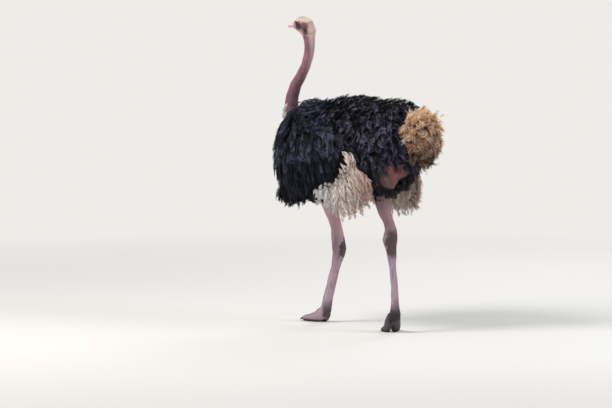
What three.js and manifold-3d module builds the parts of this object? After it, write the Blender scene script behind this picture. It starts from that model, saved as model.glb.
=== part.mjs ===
// A life-size male ostrich in mid stride, as a still museum model.
// Millimetres, +Z up. The bird faces -X and its left side faces -Y. The origin is on the
// floor, under the middle of the bounding box.
import * as THREE from 'three';
import { mergeVertices } from 'three/addons/utils/BufferGeometryUtils.js';
import Module from 'manifold-3d';

const wasm = await Module();
wasm.setup();

// Driving dimensions
const GAP = 0.3; // clearance left between touching pieces
const BACK_HEIGHT = 1496; // top of the back, feathers included
const CHEST_X = -616; // front of the chest
const RUMP_X = 458; // rear end of the trunk, inside the tail
const FLOOR_BITE = 6; // how far a toe pad is pressed flat
const PLUMES_PER_WING = 12;
const TAIL_PLUMES = 21;
const BELLY_TUFTS = 6;
const COVERT_TUFTS = 8;
const EYE_RADIUS = 21;
const BILL_LENGTH = 71;
const STANCE = [12, -16]; // how far both legs are set back and left, under the body's weight

const ACROSS = new THREE.Vector3(0, 1, 0);
const UP = new THREE.Vector3(0, 0, 1);
const REARWARD = new THREE.Vector3(1, 0, 0);
const LEFT = -1;
const RIGHT = 1;

const point = (x, y, z) => new THREE.Vector3(x, y, z);

// One cross-section of a lofted piece: its centre, and its reach across, above and below it.
function section(x, y, z, across, above = across, below = above) {
  return { at: point(x, y, z), reach: point(across, above, below) };
}

// Lays rings along a smooth path through the sections. Each ring is a superellipse whose
// first axis is `sideways`. `round` rounds the start and the end by that many millimetres.
// `from` and `to` keep one length of the path, parted from the next by the clearance, and
// `heading` sets every ring square to one direction instead of to the path.
function loft(sections, options = {}) {
  const { sideways = ACROSS, sides = 12, power = 2, round = [0, 0], grow = 0 } = options;
  const last = sections.length - 1;
  const { from = 0, to = last, heading } = options;
  const path = new THREE.CatmullRomCurve3(sections.map((s) => s.at), false, 'centripetal');
  const [startRound, endRound] = round;
  const capAngles = [32, 64].map(THREE.MathUtils.degToRad);

  function ring(index, shift = 0, shrink = 1) {
    const along = heading ?? path.getTangent(index / last);
    const side = sideways.clone().addScaledVector(along, -sideways.dot(along)).normalize();
    const upward = along.clone().cross(side);
    const centre = path.getPoint(index / last).addScaledVector(along, shift);
    const reach = sections[index].reach.clone().addScalar(grow).multiplyScalar(shrink);
    const corners = [];
    for (let i = 0; i < sides; i += 1) {
      const angle = (i / sides) * 2 * Math.PI;
      const bend = (v) => Math.sign(v) * Math.abs(v) ** (2 / power);
      const height = Math.sin(angle) > 0 ? reach.y : reach.z;
      corners.push(centre.clone()
        .addScaledVector(side, bend(Math.cos(angle)) * reach.x)
        .addScaledVector(upward, bend(Math.sin(angle)) * height));
    }
    return { corners, centre };
  }

  // How far an end moves along the path: out by the growth, or in by half the clearance.
  const outward = (parted) => grow - (parted ? GAP / 2 : 0);
  const startShift = -outward(from > 0);
  const endShift = outward(to < last);
  const cap = (index, sign, length) => capAngles.map((a) => ring(index, sign * length * Math.sin(a), Math.cos(a)));
  const rings = [];
  if (startRound) rings.push(...cap(from, -1, startRound + grow).reverse());
  for (let i = from; i <= to; i += 1) {
    const shift = i === from && !startRound ? startShift : i === to && !endRound ? endShift : 0;
    rings.push(ring(i, shift));
  }
  if (endRound) rings.push(...cap(to, 1, endRound + grow));
  const start = ring(from, startRound ? -startRound - grow : startShift).centre;
  const end = ring(to, endRound ? endRound + grow : endShift).centre;
  return closedLoft(rings.map((r) => r.corners), start, end);
}

// Joins rings of corners into one closed surface with a point at each end.
function closedLoft(rings, start, end) {
  const sides = rings[0].length;
  const positions = [...rings.flat(), start, end].flatMap((p) => [p.x, p.y, p.z]);
  const startPoint = rings.length * sides;
  const triangles = [];
  for (let i = 0; i < sides; i += 1) {
    const next = (i + 1) % sides;
    const last = (rings.length - 1) * sides;
    triangles.push(startPoint, next, i, startPoint + 1, last + i, last + next);
    for (let j = 0; j + 1 < rings.length; j += 1) {
      const low = j * sides;
      const high = low + sides;
      triangles.push(low + i, low + next, high + next, low + i, high + next, high + i);
    }
  }
  const geometry = new THREE.BufferGeometry();
  geometry.setAttribute('position', new THREE.Float32BufferAttribute(positions, 3));
  geometry.setIndex(triangles);
  return geometry;
}

// Booleans: a geometry becomes a solid, solids are joined or cut, and the largest piece stays.
function solid(geometry) {
  const bare = geometry.clone();
  bare.deleteAttribute('normal');
  bare.deleteAttribute('uv');
  const merged = mergeVertices(bare, 1e-4);
  const vertProperties = new Float32Array(merged.attributes.position.array);
  const triVerts = new Uint32Array(merged.index.array);
  return new wasm.Manifold(new wasm.Mesh({ numProp: 3, vertProperties, triVerts }));
}

const join = (geometries) => geometries.map(solid).reduce((whole, part) => whole.add(part));

function geometryOf(body) {
  const pieces = body.decompose().sort((a, b) => b.volume() - a.volume());
  const { vertProperties, triVerts } = pieces[0].getMesh();
  const geometry = new THREE.BufferGeometry();
  geometry.setAttribute('position', new THREE.Float32BufferAttribute(vertProperties, 3));
  geometry.setIndex(Array.from(triVerts));
  return geometry;
}

// A vane or tuft: a thin tapering blade from its root, past its middle, to its tip.
function vane(root, middle, tip, width, thickness, grow = 0) {
  const across = tip.clone().sub(root).cross(point(0, Math.sign(middle.y) || 1, 0)).normalize();
  return loft([
    { at: root, reach: point(width * 0.55, thickness, thickness) },
    { at: middle, reach: point(width, thickness, thickness) },
    { at: tip, reach: point(width * 0.3, thickness * 0.35, thickness * 0.35) },
  ], { sideways: across, sides: 4, grow });
}

// Materials
const finish = (color, roughness = 0.85) => new THREE.MeshStandardMaterial({ color, roughness, metalness: 0 });
const blackPlumage = () => finish(0x15171e);
const palePlumage = () => finish(0xc4aa98);
const tailPlumage = () => finish(0x9a7a58);
const neckSkin = () => finish(0x9c7683, 0.7);
const headDown = () => finish(0xcbb19c, 0.8);
const legSkin = () => finish(0xa0838c, 0.6);
const padSkin = () => finish(0x2c2628, 0.7);
const horn = () => finish(0xe6c3c6, 0.4);
const eyeball = () => finish(0x15100d, 0.05);

const group = new THREE.Group();

function add(name, geometry, material) {
  const mesh = new THREE.Mesh(geometry, material);
  mesh.name = name;
  group.add(mesh);
}

// Trunk: rings across the body from chest to rump. Each station holds x, the top, the
// bottom and the half width of the plumage.
const TRUNK_STATIONS = [
  [CHEST_X + 22, 1240, 950, 112],
  [-548, 1340, 862, 186],
  [-470, 1398, 812, 262],
  [-385, 1456, 792, 300],
  [-305, 1436, 786, 318],
  [-190, 1468, 788, 326],
  [-60, BACK_HEIGHT, 800, 330],
  [50, BACK_HEIGHT - 5, 815, 326],
  [130, BACK_HEIGHT - 22, 828, 316],
  [235, BACK_HEIGHT - 8, 850, 288],
  [335, BACK_HEIGHT - 10, 900, 236],
  [RUMP_X - 42, BACK_HEIGHT - 28, 990, 160],
];

function trunkShape(grow = 0) {
  const rings = TRUNK_STATIONS.map(([x, top, bottom, width]) => {
    const middle = bottom + (top - bottom) * 0.46;
    return section(x, 0, middle, width, top - middle, middle - bottom);
  });
  return loft(rings, { heading: REARWARD, sides: 22, power: 2.25, round: [22, 42], grow });
}

// Short tufts that end the plumage raggedly under the chest and belly.
function bellyFringe() {
  const tufts = [];
  for (let i = 0; i < BELLY_TUFTS; i += 1) {
    const t = i / (BELLY_TUFTS - 1);
    const x = THREE.MathUtils.lerp(-470, 270, t);
    const y = 110 * Math.sin(i * 2.4);
    const drop = 800 + 60 * t * t;
    tufts.push(vane(point(x - 20, y, drop + 90), point(x, y, drop + 30), point(x + 30, y, drop - 20), 40, 24));
  }
  return tufts;
}

// Neck: one bent length from inside the chest to the head, parted into three.
const NECK_SECTIONS = [
  section(-488, 0, 1270, 62),
  section(-526, 0, 1345, 53),
  section(-536, 0, 1400, 45.5),
  section(-527, 0, 1465, 41.5),
  section(-502, 0, 1535, 38),
  section(-461, 0, 1597, 34),
  section(-421, 0, 1667, 32),
  section(-400, 0, 1728, 32.5),
  section(-391, 0, 1790, 34),
  section(-392, 0, 1826, 35, 37, 35),
  section(-396, 0, 1862, 35.5, 48, 38), // deeper than wide, where the throat meets the jaw
];
const NECK_CUTS = [0, 4, 7, 10];

function neckLength(from, to, grow = 0) {
  return loft(NECK_SECTIONS, { sides: 14, from: NECK_CUTS[from], to: NECK_CUTS[to], grow });
}

// Head: a flat-crowned, downy skull with a short broad bill, big eyes and ear openings.
const HEAD_STATIONS = [
  // x, crown, underside, half width
  [-360, 1916, 1868, 22],
  [-368, 1936, 1858, 32],
  [-380, 1962, 1852, 38],
  [-396, 1977, 1850, 41],
  [-418, 1981, 1853, 43],
  [-442, 1981, 1866, 43],
  [-468, 1977, 1882, 40],
  [-488, 1966, 1893, 33],
  [-508, 1953, 1903, 22],
];

function headShape(grow = 0) {
  const rings = HEAD_STATIONS.map(([x, top, bottom, width]) => {
    const middle = (top + bottom) / 2;
    return section(x, 0, middle, width, top - middle, middle - bottom);
  });
  const heading = REARWARD.clone().negate();
  const sideways = ACROSS.clone().negate();
  return loft(rings, { heading, sideways, sides: 16, power: 2.2, round: [6, 5], grow });
}

function billHalf(isUpper) {
  const base = -492;
  const tip = base - BILL_LENGTH;
  const gape = isUpper ? 1914 + GAP : 1914;
  const [top, bottom] = isUpper ? [1950, gape] : [gape, 1899];
  const [tipTop, tipBottom] = isUpper ? [1932, gape] : [gape, 1907];
  const ring = (x, t, width) => {
    const high = THREE.MathUtils.lerp(top, tipTop, t);
    const low = THREE.MathUtils.lerp(bottom, tipBottom, t);
    return section(x, 0, (high + low) / 2, width, (high - low) / 2);
  };
  return loft([ring(base + 8, 0, 29), ring(base - 16, 0.32, 26), ring(base - 42, 0.7, 20), ring(tip + 9, 1, 13.5)],
    { sideways: ACROSS.clone().negate(), sides: 8, power: 2.3, round: [0, 9] });
}

function eyeShape(side, grow = 0) {
  const ball = new THREE.SphereGeometry(EYE_RADIUS + grow, 12, 7);
  ball.rotateX(side * -Math.PI / 2);
  ball.translate(-463, side * 22.5, 1939);
  return ball;
}

function earShape(side, grow = 0) {
  const plug = new THREE.SphereGeometry(1, 7, 5);
  plug.scale(9 + grow, 8 + grow, 12 + grow);
  plug.translate(-398, side * 34.5, 1893);
  return plug;
}

// Wings: a thick drooping shield of black coverts on each flank, with pale plumes
// fanning out behind and below it.
const WING_STATIONS = [
  // x, centre height, half height, distance from the midline, half thickness
  [-448, 1056, 130, 262, 34],
  [-396, 1040, 208, 290, 50],
  [-300, 1042, 240, 312, 58],
  [-170, 1054, 240, 326, 58],
  [-50, 1080, 205, 334, 52],
  [60, 1098, 150, 332, 44],
  [130, 1104, 95, 326, 34],
];

function wingShape(side, grow = 0) {
  const rings = WING_STATIONS.map(([x, z, height, y, thickness]) => section(x, side * y, z, thickness, height));
  return loft(rings, { heading: REARWARD, sides: 14, power: 2.3, round: [34, 40], grow });
}

function wingFringe(side, grow = 0) {
  const tufts = [];
  for (let i = 0; i < COVERT_TUFTS; i += 1) {
    const t = i / (COVERT_TUFTS - 1);
    const x = THREE.MathUtils.lerp(-398, -60, t);
    const y = side * (316 + 16 * Math.sin(1 + t * 2));
    const low = 794 + 12 * Math.cos(i * 2.3) + 60 * t ** 6;
    tufts.push(vane(point(x, y, low + 95), point(x + 6, y, low + 45), point(x + 18, y, low), 42, 20, grow));
  }
  return tufts;
}

// Roots run up a line behind the coverts, and the tips follow a low arc. The right wing is
// held closer, so that its fan is narrower and hangs lower.
const PLUME_FANS = {
  [LEFT]: { last: 350, centreX: 124, centreZ: 930, reachZ: 196 },
  [RIGHT]: { last: 308, centreX: 60, centreZ: 930, reachZ: 222 },
};

function plumeBlades(side) {
  const fan = PLUME_FANS[side];
  const blades = [];
  for (let i = 0; i < PLUMES_PER_WING; i += 1) {
    const t = i / (PLUMES_PER_WING - 1);
    const angle = THREE.MathUtils.degToRad(THREE.MathUtils.lerp(196, fan.last, t));
    const ragged = 1 + 0.04 * Math.sin(i * 2.7);
    const y = side * (354 + 10 * Math.cos(i * 1.7));
    const root = point(10 + 130 * t, side * 340, 985 + 105 * t);
    const tip = point(
      fan.centreX + 228 * ragged * Math.cos(angle),
      y,
      fan.centreZ + fan.reachZ * ragged * Math.sin(angle),
    );
    const middle = root.clone().lerp(tip, 0.6).add(point(20 * t, side * 12, 14));
    blades.push(vane(root, middle, tip, 46, 15));
  }
  return blades;
}

// Tail: a drooping bush of curled plumes round a short fleshy root.
function tailRoot() {
  return loft([
    section(395, 0, 1300, 130, 130, 190),
    section(450, 0, 1290, 168, 146, 214),
    section(515, 0, 1250, 158, 150, 196),
    section(556, 0, 1215, 112, 126, 150),
  ], { heading: REARWARD, sides: 14, power: 2.1, round: [0, 34] });
}

function tailBlades() {
  const blades = [];
  for (let i = 0; i < TAIL_PLUMES; i += 1) {
    const turn = i * 2.399963; // the golden angle spreads the plumes evenly
    const spread = Math.sqrt((i + 0.5) / TAIL_PLUMES);
    const y = Math.cos(turn) * spread;
    const z = Math.sin(turn) * spread;
    const root = point(462 + 36 * (1 - spread), 118 * y, 1290 + 118 * z);
    const tip = point(588 - 122 * spread ** 2, 186 * y, 1222 + 212 * z - 18 * (1 - spread));
    const middle = root.clone().lerp(tip, 0.5).add(point(32, 16 * y, 24));
    blades.push(vane(root, middle, tip, 48, 24));
  }
  return blades;
}

// Legs: one bent length from inside the trunk to the knuckle, parted into thigh, shank,
// ankle and tarsus, then a foot with two toes. A leg turns with its own yaw.
const LEG_CUTS = [0, 3, 7, 10, 14, 16];
const LEGS = {
  left: {
    side: LEFT,
    yaw: 30,
    toeYaw: 54,
    sections: [
      section(225, -170, 1085, 126, 130, 130),
      section(300, -186, 975, 112, 122, 122),
      section(312, -188, 890, 82, 88, 88),
      section(306, -186, 838, 56, 60, 60),
      section(318, -180, 765, 41, 43, 43),
      section(338, -174, 716, 34),
      section(355, -170, 662, 38, 36, 36),
      section(351, -167, 628, 45, 42, 42),
      section(347, -165, 592, 51, 46, 50),
      section(352, -165, 553, 42, 40, 40),
      section(357, -165, 512, 32, 34, 30),
      section(367, -165, 420, 22, 28, 26),
      section(381, -165, 290, 22, 27, 27),
      section(385, -165, 205, 23.5, 28, 28),
      section(386, -165, 160, 29, 31, 31),
      section(386, -165, 122, 37, 38, 34),
      section(384, -165, 96, 30, 26, 30),
    ],
    knuckle: point(384, -165, 122),
    toes: [
      { forward: 0, top: 156, bottom: 84 },
      { forward: 48, top: 118, bottom: 34 },
      { forward: 88, top: 72, bottom: -FLOOR_BITE },
      { forward: 130, top: 46, bottom: -FLOOR_BITE },
      { forward: 166, top: 38, bottom: -FLOOR_BITE },
    ],
  },
  right: {
    side: RIGHT,
    yaw: 6,
    toeYaw: 8,
    sections: [
      section(-215, 160, 1070, 118, 124, 124),
      section(-315, 162, 955, 106, 116, 116),
      section(-335, 150, 860, 80, 88, 88),
      section(-328, 136, 790, 60, 66, 66),
      section(-308, 125, 735, 48, 52, 52),
      section(-285, 121, 680, 38, 42, 42),
      section(-265, 119, 620, 36, 40, 40),
      section(-250, 117, 540, 43, 47, 46),
      section(-243, 115, 486, 46, 54, 46),
      section(-245, 114, 446, 38, 46, 38),
      section(-252, 112, 405, 29, 36, 34),
      section(-267, 110, 345, 22, 31, 30),
      section(-288, 107, 270, 22, 33, 31),
      section(-312, 104, 178, 24, 34, 33),
      section(-326, 102, 118, 30, 37, 35),
      section(-335, 101, 76, 38, 38, 34),
      section(-340, 101, 50, 30, 26, 30),
    ],
    knuckle: point(-337, 101, 76),
    toes: [
      { forward: 0, top: 110, bottom: 34 },
      { forward: 48, top: 78, bottom: 2 },
      { forward: 88, top: 56, bottom: -FLOOR_BITE },
      { forward: 130, top: 46, bottom: -FLOOR_BITE },
      { forward: 166, top: 38, bottom: -FLOOR_BITE },
    ],
  },
};

const lateral = (yaw) => ACROSS.clone().applyAxisAngle(UP, THREE.MathUtils.degToRad(-yaw));
const forwards = (yaw) => point(-1, 0, 0).applyAxisAngle(UP, THREE.MathUtils.degToRad(-yaw));

for (const leg of Object.values(LEGS)) {
  const shift = point(...STANCE, 0);
  for (const spot of [leg.knuckle, ...leg.sections.map((s) => s.at)]) spot.add(shift);
}

function legLength(leg, from, to, grow = 0) {
  return loft(leg.sections, {
    sideways: lateral(leg.yaw),
    sides: 10,
    from: LEG_CUTS[from],
    to: LEG_CUTS[to],
    round: [from === 0 ? 70 : 0, to === 5 ? 10 : 0],
    grow,
  });
}

// A toe lies along its own heading. The pads below the floor are cut off flat.
function toeShape(leg, { splay, scale, width, offset }, grow = 0) {
  const yaw = leg.toeYaw + leg.side * splay;
  const heading = forwards(yaw);
  const sideways = lateral(yaw);
  const { x, y } = leg.knuckle;
  const outward = lateral(leg.toeYaw).multiplyScalar(leg.side * offset);
  const widths = [0.86, 0.95, 1, 0.98, 0.84];
  const rings = leg.toes.map(({ forward, top, bottom }, i) => {
    const lean = scale < 1 ? 0.9 : 1;
    const height = bottom > 0 ? top * lean : top * (0.35 + 0.65 * scale);
    const middle = (height + bottom) / 2;
    const at = point(x, y, middle).add(outward).addScaledVector(heading, forward * scale);
    const half = (height - bottom) / 2;
    return { at, reach: point(width * widths[i], half, half) };
  });
  return loft(rings, { sideways: sideways.negate(), sides: 8, power: 2.3, round: [6, 18], grow });
}

function clawShape(leg, toe, grow = 0) {
  const yaw = leg.toeYaw + leg.side * toe.splay;
  const heading = forwards(yaw);
  const { x, y } = leg.knuckle;
  const outward = lateral(leg.toeYaw).multiplyScalar(leg.side * toe.offset);
  const reach = leg.toes[leg.toes.length - 1].forward * toe.scale;
  const base = point(x, y, 0).add(outward).addScaledVector(heading, reach);
  const ring = (forward, z, across, tall) => {
    const at = base.clone().addScaledVector(heading, forward).setZ(z);
    return { at, reach: point(across, tall, tall) };
  };
  return loft([
    ring(0, 22 * toe.claw, 12 * toe.claw, 9 * toe.claw),
    ring(24 * toe.claw, 18 * toe.claw, 12 * toe.claw, 9 * toe.claw),
    ring(44 * toe.claw, 9 * toe.claw, 7 * toe.claw, 5 * toe.claw),
  ], { sideways: lateral(yaw).negate(), sides: 6, round: [0, 6], grow });
}

const BIG_TOE = { splay: 0, scale: 1, width: 33, offset: -8, claw: 1 };
const OUTER_TOE = { splay: 24, scale: 0.66, width: 22, offset: 24, claw: 0.6 };

function belowFloor() {
  const slab = new THREE.BoxGeometry(3000, 3000, 200);
  slab.translate(0, 0, -100);
  return slab;
}

function addLeg(name, leg) {
  add(`thigh_${name}`, legLength(leg, 0, 1), blackPlumage());
  add(`shank_${name}`, legLength(leg, 1, 2), legSkin());
  add(`ankle_${name}`, legLength(leg, 2, 3), padSkin());
  add(`tarsus_${name}`, legLength(leg, 3, 4), legSkin());
  addFoot(name, leg);
}

function addFoot(name, leg) {
  const floor = solid(belowFloor());
  const aroundKnuckle = solid(legLength(leg, 4, 5, GAP));
  const aroundBigToe = solid(toeShape(leg, BIG_TOE, GAP));
  const bigToe = solid(toeShape(leg, BIG_TOE)).subtract(aroundKnuckle).subtract(floor);
  const outerToe = solid(toeShape(leg, OUTER_TOE)).subtract(aroundKnuckle).subtract(aroundBigToe);
  add(`foot_${name}`, geometryOf(solid(legLength(leg, 4, 5)).subtract(floor)), padSkin());
  add(`big_toe_${name}`, geometryOf(bigToe), legSkin());
  add(`outer_toe_${name}`, geometryOf(outerToe.subtract(floor)), legSkin());
  for (const [kind, toe] of [['big', BIG_TOE], ['outer', OUTER_TOE]]) {
    const claw = solid(clawShape(leg, toe)).subtract(solid(toeShape(leg, toe, GAP)));
    add(`${kind}_claw_${name}`, geometryOf(claw.subtract(floor)), horn());
  }
}

function addHead() {
  let skull = solid(headShape()).subtract(solid(neckLength(2, 3, GAP)));
  for (const [name, side] of [['left', LEFT], ['right', RIGHT]]) {
    skull = skull.subtract(solid(eyeShape(side, GAP))).subtract(solid(earShape(side, GAP)));
    add(`eye_${name}`, eyeShape(side), eyeball());
    add(`ear_${name}`, earShape(side), padSkin());
  }
  const around = solid(headShape(GAP));
  add('bill_upper', geometryOf(solid(billHalf(true)).subtract(around)), horn());
  add('bill_lower', geometryOf(solid(billHalf(false)).subtract(around)), horn());
  add('head', geometryOf(skull), headDown());
}

function addNeck() {
  ['neck_lower', 'neck_middle', 'neck_upper'].forEach((name, i) => {
    add(name, neckLength(i, i + 1), neckSkin());
  });
}

const grownLegs = () => Object.values(LEGS).map((leg) => solid(legLength(leg, 0, 2, GAP)));
const cut = (body, holes) => holes.reduce((rest, hole) => rest.subtract(hole), body);

function addTrunkAndTail() {
  const wings = [LEFT, RIGHT].map((side) => solid(wingShape(side, GAP)));
  const holes = [solid(neckLength(0, 1, GAP)), ...grownLegs(), ...wings];
  const trunk = cut(join([trunkShape(), ...bellyFringe()]), holes);
  const tail = cut(join([tailRoot(), ...tailBlades()]), [solid(trunkShape(GAP))]);
  add('trunk', geometryOf(trunk), blackPlumage());
  add('tail', geometryOf(tail), tailPlumage());
}

function addWings() {
  const legs = grownLegs();
  const trunk = solid(trunkShape(GAP));
  for (const [name, side] of [['left', LEFT], ['right', RIGHT]]) {
    const fringe = join(wingFringe(side));
    const coverts = cut(solid(wingShape(side)).add(fringe.subtract(trunk)), legs);
    const aroundWing = join([wingShape(side, GAP), ...wingFringe(side, GAP)]);
    const plumes = cut(join(plumeBlades(side)), [aroundWing, trunk, ...legs]);
    add(`wing_${name}`, geometryOf(coverts), blackPlumage());
    add(`wing_plumes_${name}`, geometryOf(plumes), palePlumage());
  }
}

addHead();
addNeck();
addTrunkAndTail();
addWings();
addLeg('left', LEGS.left);
addLeg('right', LEGS.right);

const bounds = new THREE.Box3().setFromObject(group);
const middle = bounds.getCenter(new THREE.Vector3());
group.position.set(-middle.x, -middle.y, -bounds.min.z);
group.updateMatrixWorld(true);

export default group;
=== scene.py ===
"""Ostrich, a life-size still model: its skin, plumage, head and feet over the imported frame."""
import math
from types import SimpleNamespace

import bmesh
import bpy
import numpy as np
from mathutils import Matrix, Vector, noise
from mathutils.bvhtree import BVHTree


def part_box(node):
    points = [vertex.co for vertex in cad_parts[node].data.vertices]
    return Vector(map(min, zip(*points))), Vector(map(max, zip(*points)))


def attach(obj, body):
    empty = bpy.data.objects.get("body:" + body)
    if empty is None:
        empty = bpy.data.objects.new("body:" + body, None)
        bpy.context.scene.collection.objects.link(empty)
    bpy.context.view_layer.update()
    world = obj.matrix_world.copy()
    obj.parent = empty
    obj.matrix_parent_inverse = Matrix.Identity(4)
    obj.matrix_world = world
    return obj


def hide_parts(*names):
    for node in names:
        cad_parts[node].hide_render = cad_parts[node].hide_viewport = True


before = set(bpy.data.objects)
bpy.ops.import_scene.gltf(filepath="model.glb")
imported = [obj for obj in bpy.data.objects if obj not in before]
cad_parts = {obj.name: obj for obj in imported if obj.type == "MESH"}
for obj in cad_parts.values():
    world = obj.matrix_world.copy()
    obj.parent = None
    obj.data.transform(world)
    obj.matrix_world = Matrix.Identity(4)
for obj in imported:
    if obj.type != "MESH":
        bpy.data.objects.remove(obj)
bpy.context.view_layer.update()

# ---- Driving values (metres, +Z up; the bird faces -X and its left side is -Y) ----
SEED = 7
noise.seed_set(SEED)        # the noise vectors' offsets come from the clock otherwise
rng = np.random.default_rng(SEED)   # every random draw comes from here, in order
SIDES = {"left": -1, "right": 1}
BACKWARD = np.array([1.0, 0.0, 0.0])
DOWN = np.array([0.0, 0.0, -1.0])
UP = np.array([0.0, 0.0, 1.0])

LEAN = 1.0
COAT_DEPTH = 0.036         # from the body's skin out to the plumage's face
WALK_STEPS = 8             # pieces of a feather's middle line
LEAVING = 0.62             # a step's part that a feather may stand off before it hangs free
SHORTEST = 0.32            # least part of its length that a feather keeps
ROOT_WIDTH = 0.55          # a strand's width at its root, as a part of its widest
UV_PATCH = 0.003           # side of the patch that a strand's faces take on the unwrap

# The grains of the skins.
ENVELOPE_VOXEL, CORE_VOXEL = 0.014, 0.016     # the plumage hides the core
LEG_VOXEL, NECK_VOXEL = 0.0048, 0.0034        # the head's is half of the neck's
BILL_VOXEL, CLAW_VOXEL = 0.0011, 0.0013
FAN_VOXEL, TAIL_VOXEL = 0.007, 0.012

# The least gaps between feathers' roots.
FEATHER_SPACING, PLUME_SPACING, TAIL_SPACING = 0.0238, 0.0175, 0.0210
DOWN_SPACING, TUFT_SPACING, COLLAR_SPACING = 0.0029, 0.0017, 0.0060

VIEW_AZIMUTH = math.radians(35)
VIEW_ELEVATION = math.radians(5)
PICTURE_WIDTH = 3.936               # metres that the picture takes in, at the bird
PICTURE_MIDDLE = (-0.3395, 0.788)   # its centre, right of and above the point under the bird
CAMERA_DISTANCE = 35.0
SENSOR_WIDTH = 36.0
LAMP_SIZE = 3.0
LAMP_AIM = Vector((0, 0, 1.0))


def linear(red, green, blue):
    """A display colour of 0 to 255 as a linear one."""
    def channel(value):
        value /= 255
        return value / 12.92 if value <= 0.04045 else ((value + 0.055) / 1.055) ** 2.4
    return (channel(red), channel(green), channel(blue))


MAUVE = linear(152, 100, 117)
MAUVE_DARK = linear(112, 72, 90)
# pale mauve of the cheeks, also laid on the neck's edges as painted rim light
MAUVE_PALE = linear(204, 172, 184)
NECK_SHADE_BROWN = linear(84, 58, 68)
CHEEK_DARK = linear(82, 54, 50)
DOWN_PALE = linear(228, 206, 188)
FACE_PALE = linear(178, 146, 146)
FACE_BROWN = linear(112, 78, 72)
THIGH_PINK = linear(118, 52, 46)
# brown of the bare thigh patch, also laid on the top of the shanks partly as painted shade
THIGH_BROWN_AND_SHADE = linear(86, 58, 50)
TARSUS_LILAC = linear(180, 155, 170)
TOE_LILAC = linear(178, 156, 166)
# shank mauve; the right one is paler, as painted light that lifts it out of the body's shadow
SHANK_TONE_AND_LIGHT = {"left": linear(150, 118, 124), "right": linear(212, 168, 174)}
SHANK_DARK = linear(120, 92, 96)
# dark of the foot pads, heels and soles, also painted into the ear openings as painted shade
PAD_DARK_AND_EAR_SHADE = linear(48, 40, 42)
SOCKET_DARK = linear(44, 30, 34)
BILL_PINK = linear(244, 208, 216)
ANKLE_DARK = linear(70, 50, 46)
PLUMAGE_GAP_SHADE = linear(9, 9, 12)
UNDER_FLUFF = linear(34, 34, 44)
TAIL_ROOT = linear(92, 70, 54)


# ---- Shader words ----
class Wire:
    """A node's output. Arithmetic on wires adds Math nodes."""

    def __init__(self, tree, socket):
        self.tree = tree
        self.socket = socket

    def maths(self, operation, first, second):
        settings = {"operation": operation}
        return Wire(self.tree, node_in(self.tree, "ShaderNodeMath", settings, {0: first, 1: second})[0])

    def __add__(self, other):
        return self.maths("ADD", self, other)

    def __mul__(self, other):
        return self.maths("MULTIPLY", self, other)

    def __rsub__(self, other):
        return self.maths("SUBTRACT", other, self)

    __radd__ = __add__
    __rmul__ = __mul__


def plug(tree, socket, value):
    """Links a wire or a node's socket to a socket, or writes a plain value on it."""
    if isinstance(value, Wire):
        value = value.socket
    if isinstance(value, bpy.types.NodeSocket):
        tree.links.new(value, socket)
    else:
        if isinstance(value, tuple) and len(value) == 3 and socket.type == "RGBA":
            value = (*value, 1.0)
        socket.default_value = value


def node_in(tree, kind, settings=None, sockets=None):
    """Adds a node with its settings and its sockets' values or links, and gives its outputs."""
    node = tree.nodes.new(kind)
    for name, value in (settings or {}).items():
        setattr(node, name, value)
    for name, value in (sockets or {}).items():
        plug(tree, node.inputs[name], value)
    return node.outputs


class Paint:
    """A material built node by node, ending in one Principled surface."""

    def __init__(self, name, **surface):
        self.material = bpy.data.materials.new(name)
        self.material.use_nodes = True
        self.tree = self.material.node_tree
        self.tree.nodes.clear()
        self.surface = self.tree.nodes.new("ShaderNodeBsdfPrincipled")
        self.output = self.tree.nodes.new("ShaderNodeOutputMaterial")
        plug(self.tree, self.output.inputs["Surface"], self.surface.outputs[0])
        for socket, value in surface.items():
            self.set(socket.replace("_", " ").title().replace("Ior", "IOR"), value)

    def set(self, socket, value):
        plug(self.tree, self.surface.inputs[socket], value)

    def add(self, kind, settings=None, sockets=None, output=0):
        return Wire(self.tree, node_in(self.tree, "ShaderNode" + kind, settings, sockets)[output])

    def place(self):
        return self.add("TexCoord", output="Object")

    def coordinate(self, axis):
        return self.add("SeparateXYZ", sockets={0: self.place()}, output=axis)

    def noise(self, grain, detail=3.0, stretch=(1, 1, 1)):
        where = self.add("Mapping", sockets={"Vector": self.place(), "Scale": stretch})
        return self.add("TexNoise", sockets={
            "Vector": where, "Scale": 1 / grain, "Detail": detail, "Roughness": 0.55})

    def mottle(self, grain, low, high, detail, stretch=(1, 1, 1)):
        """Noise with lumps of a size, 0 below low and 1 above high."""
        return self.between(self.noise(grain, detail, stretch), low, high)

    def cells(self, grain, feature="F1"):
        return self.add("TexVoronoi", {"feature": feature}, {"Vector": self.place(), "Scale": 1 / grain})

    def attribute(self, name, output="Fac"):
        return self.add("Attribute", {"attribute_name": name}, output=output)

    def vectors(self, operation, *terms, output=0):
        return self.add("VectorMath", {"operation": operation}, dict(enumerate(terms)), output)

    def mix(self, factor, first, second, blend="MIX"):
        kind = {"data_type": "RGBA", "blend_type": blend}
        return self.add("Mix", kind, {0: factor, 6: first, 7: second}, 2)

    def between(self, value, low, high):
        """0 below low, 1 above high, and straight between them."""
        return self.add("MapRange", {"clamp": True}, {0: value, 1: low, 2: high, 3: 0.0, 4: 1.0})

    def bump(self, *layers):
        """Layers of (height, depth in metres), one over the other, on the surface's normal."""
        below = {}
        for height, depth in layers:
            normal = self.add("Bump", None, {"Height": height, "Distance": depth, "Strength": 1.0, **below})
            below = {"Normal": normal}
        self.set("Normal", normal)


# ---- Mesh words ----
def new_object(name, mesh):
    """A mesh as a new object in the scene."""
    thing = bpy.data.objects.new(name, mesh)
    bpy.context.scene.collection.objects.link(thing)
    return thing


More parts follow.
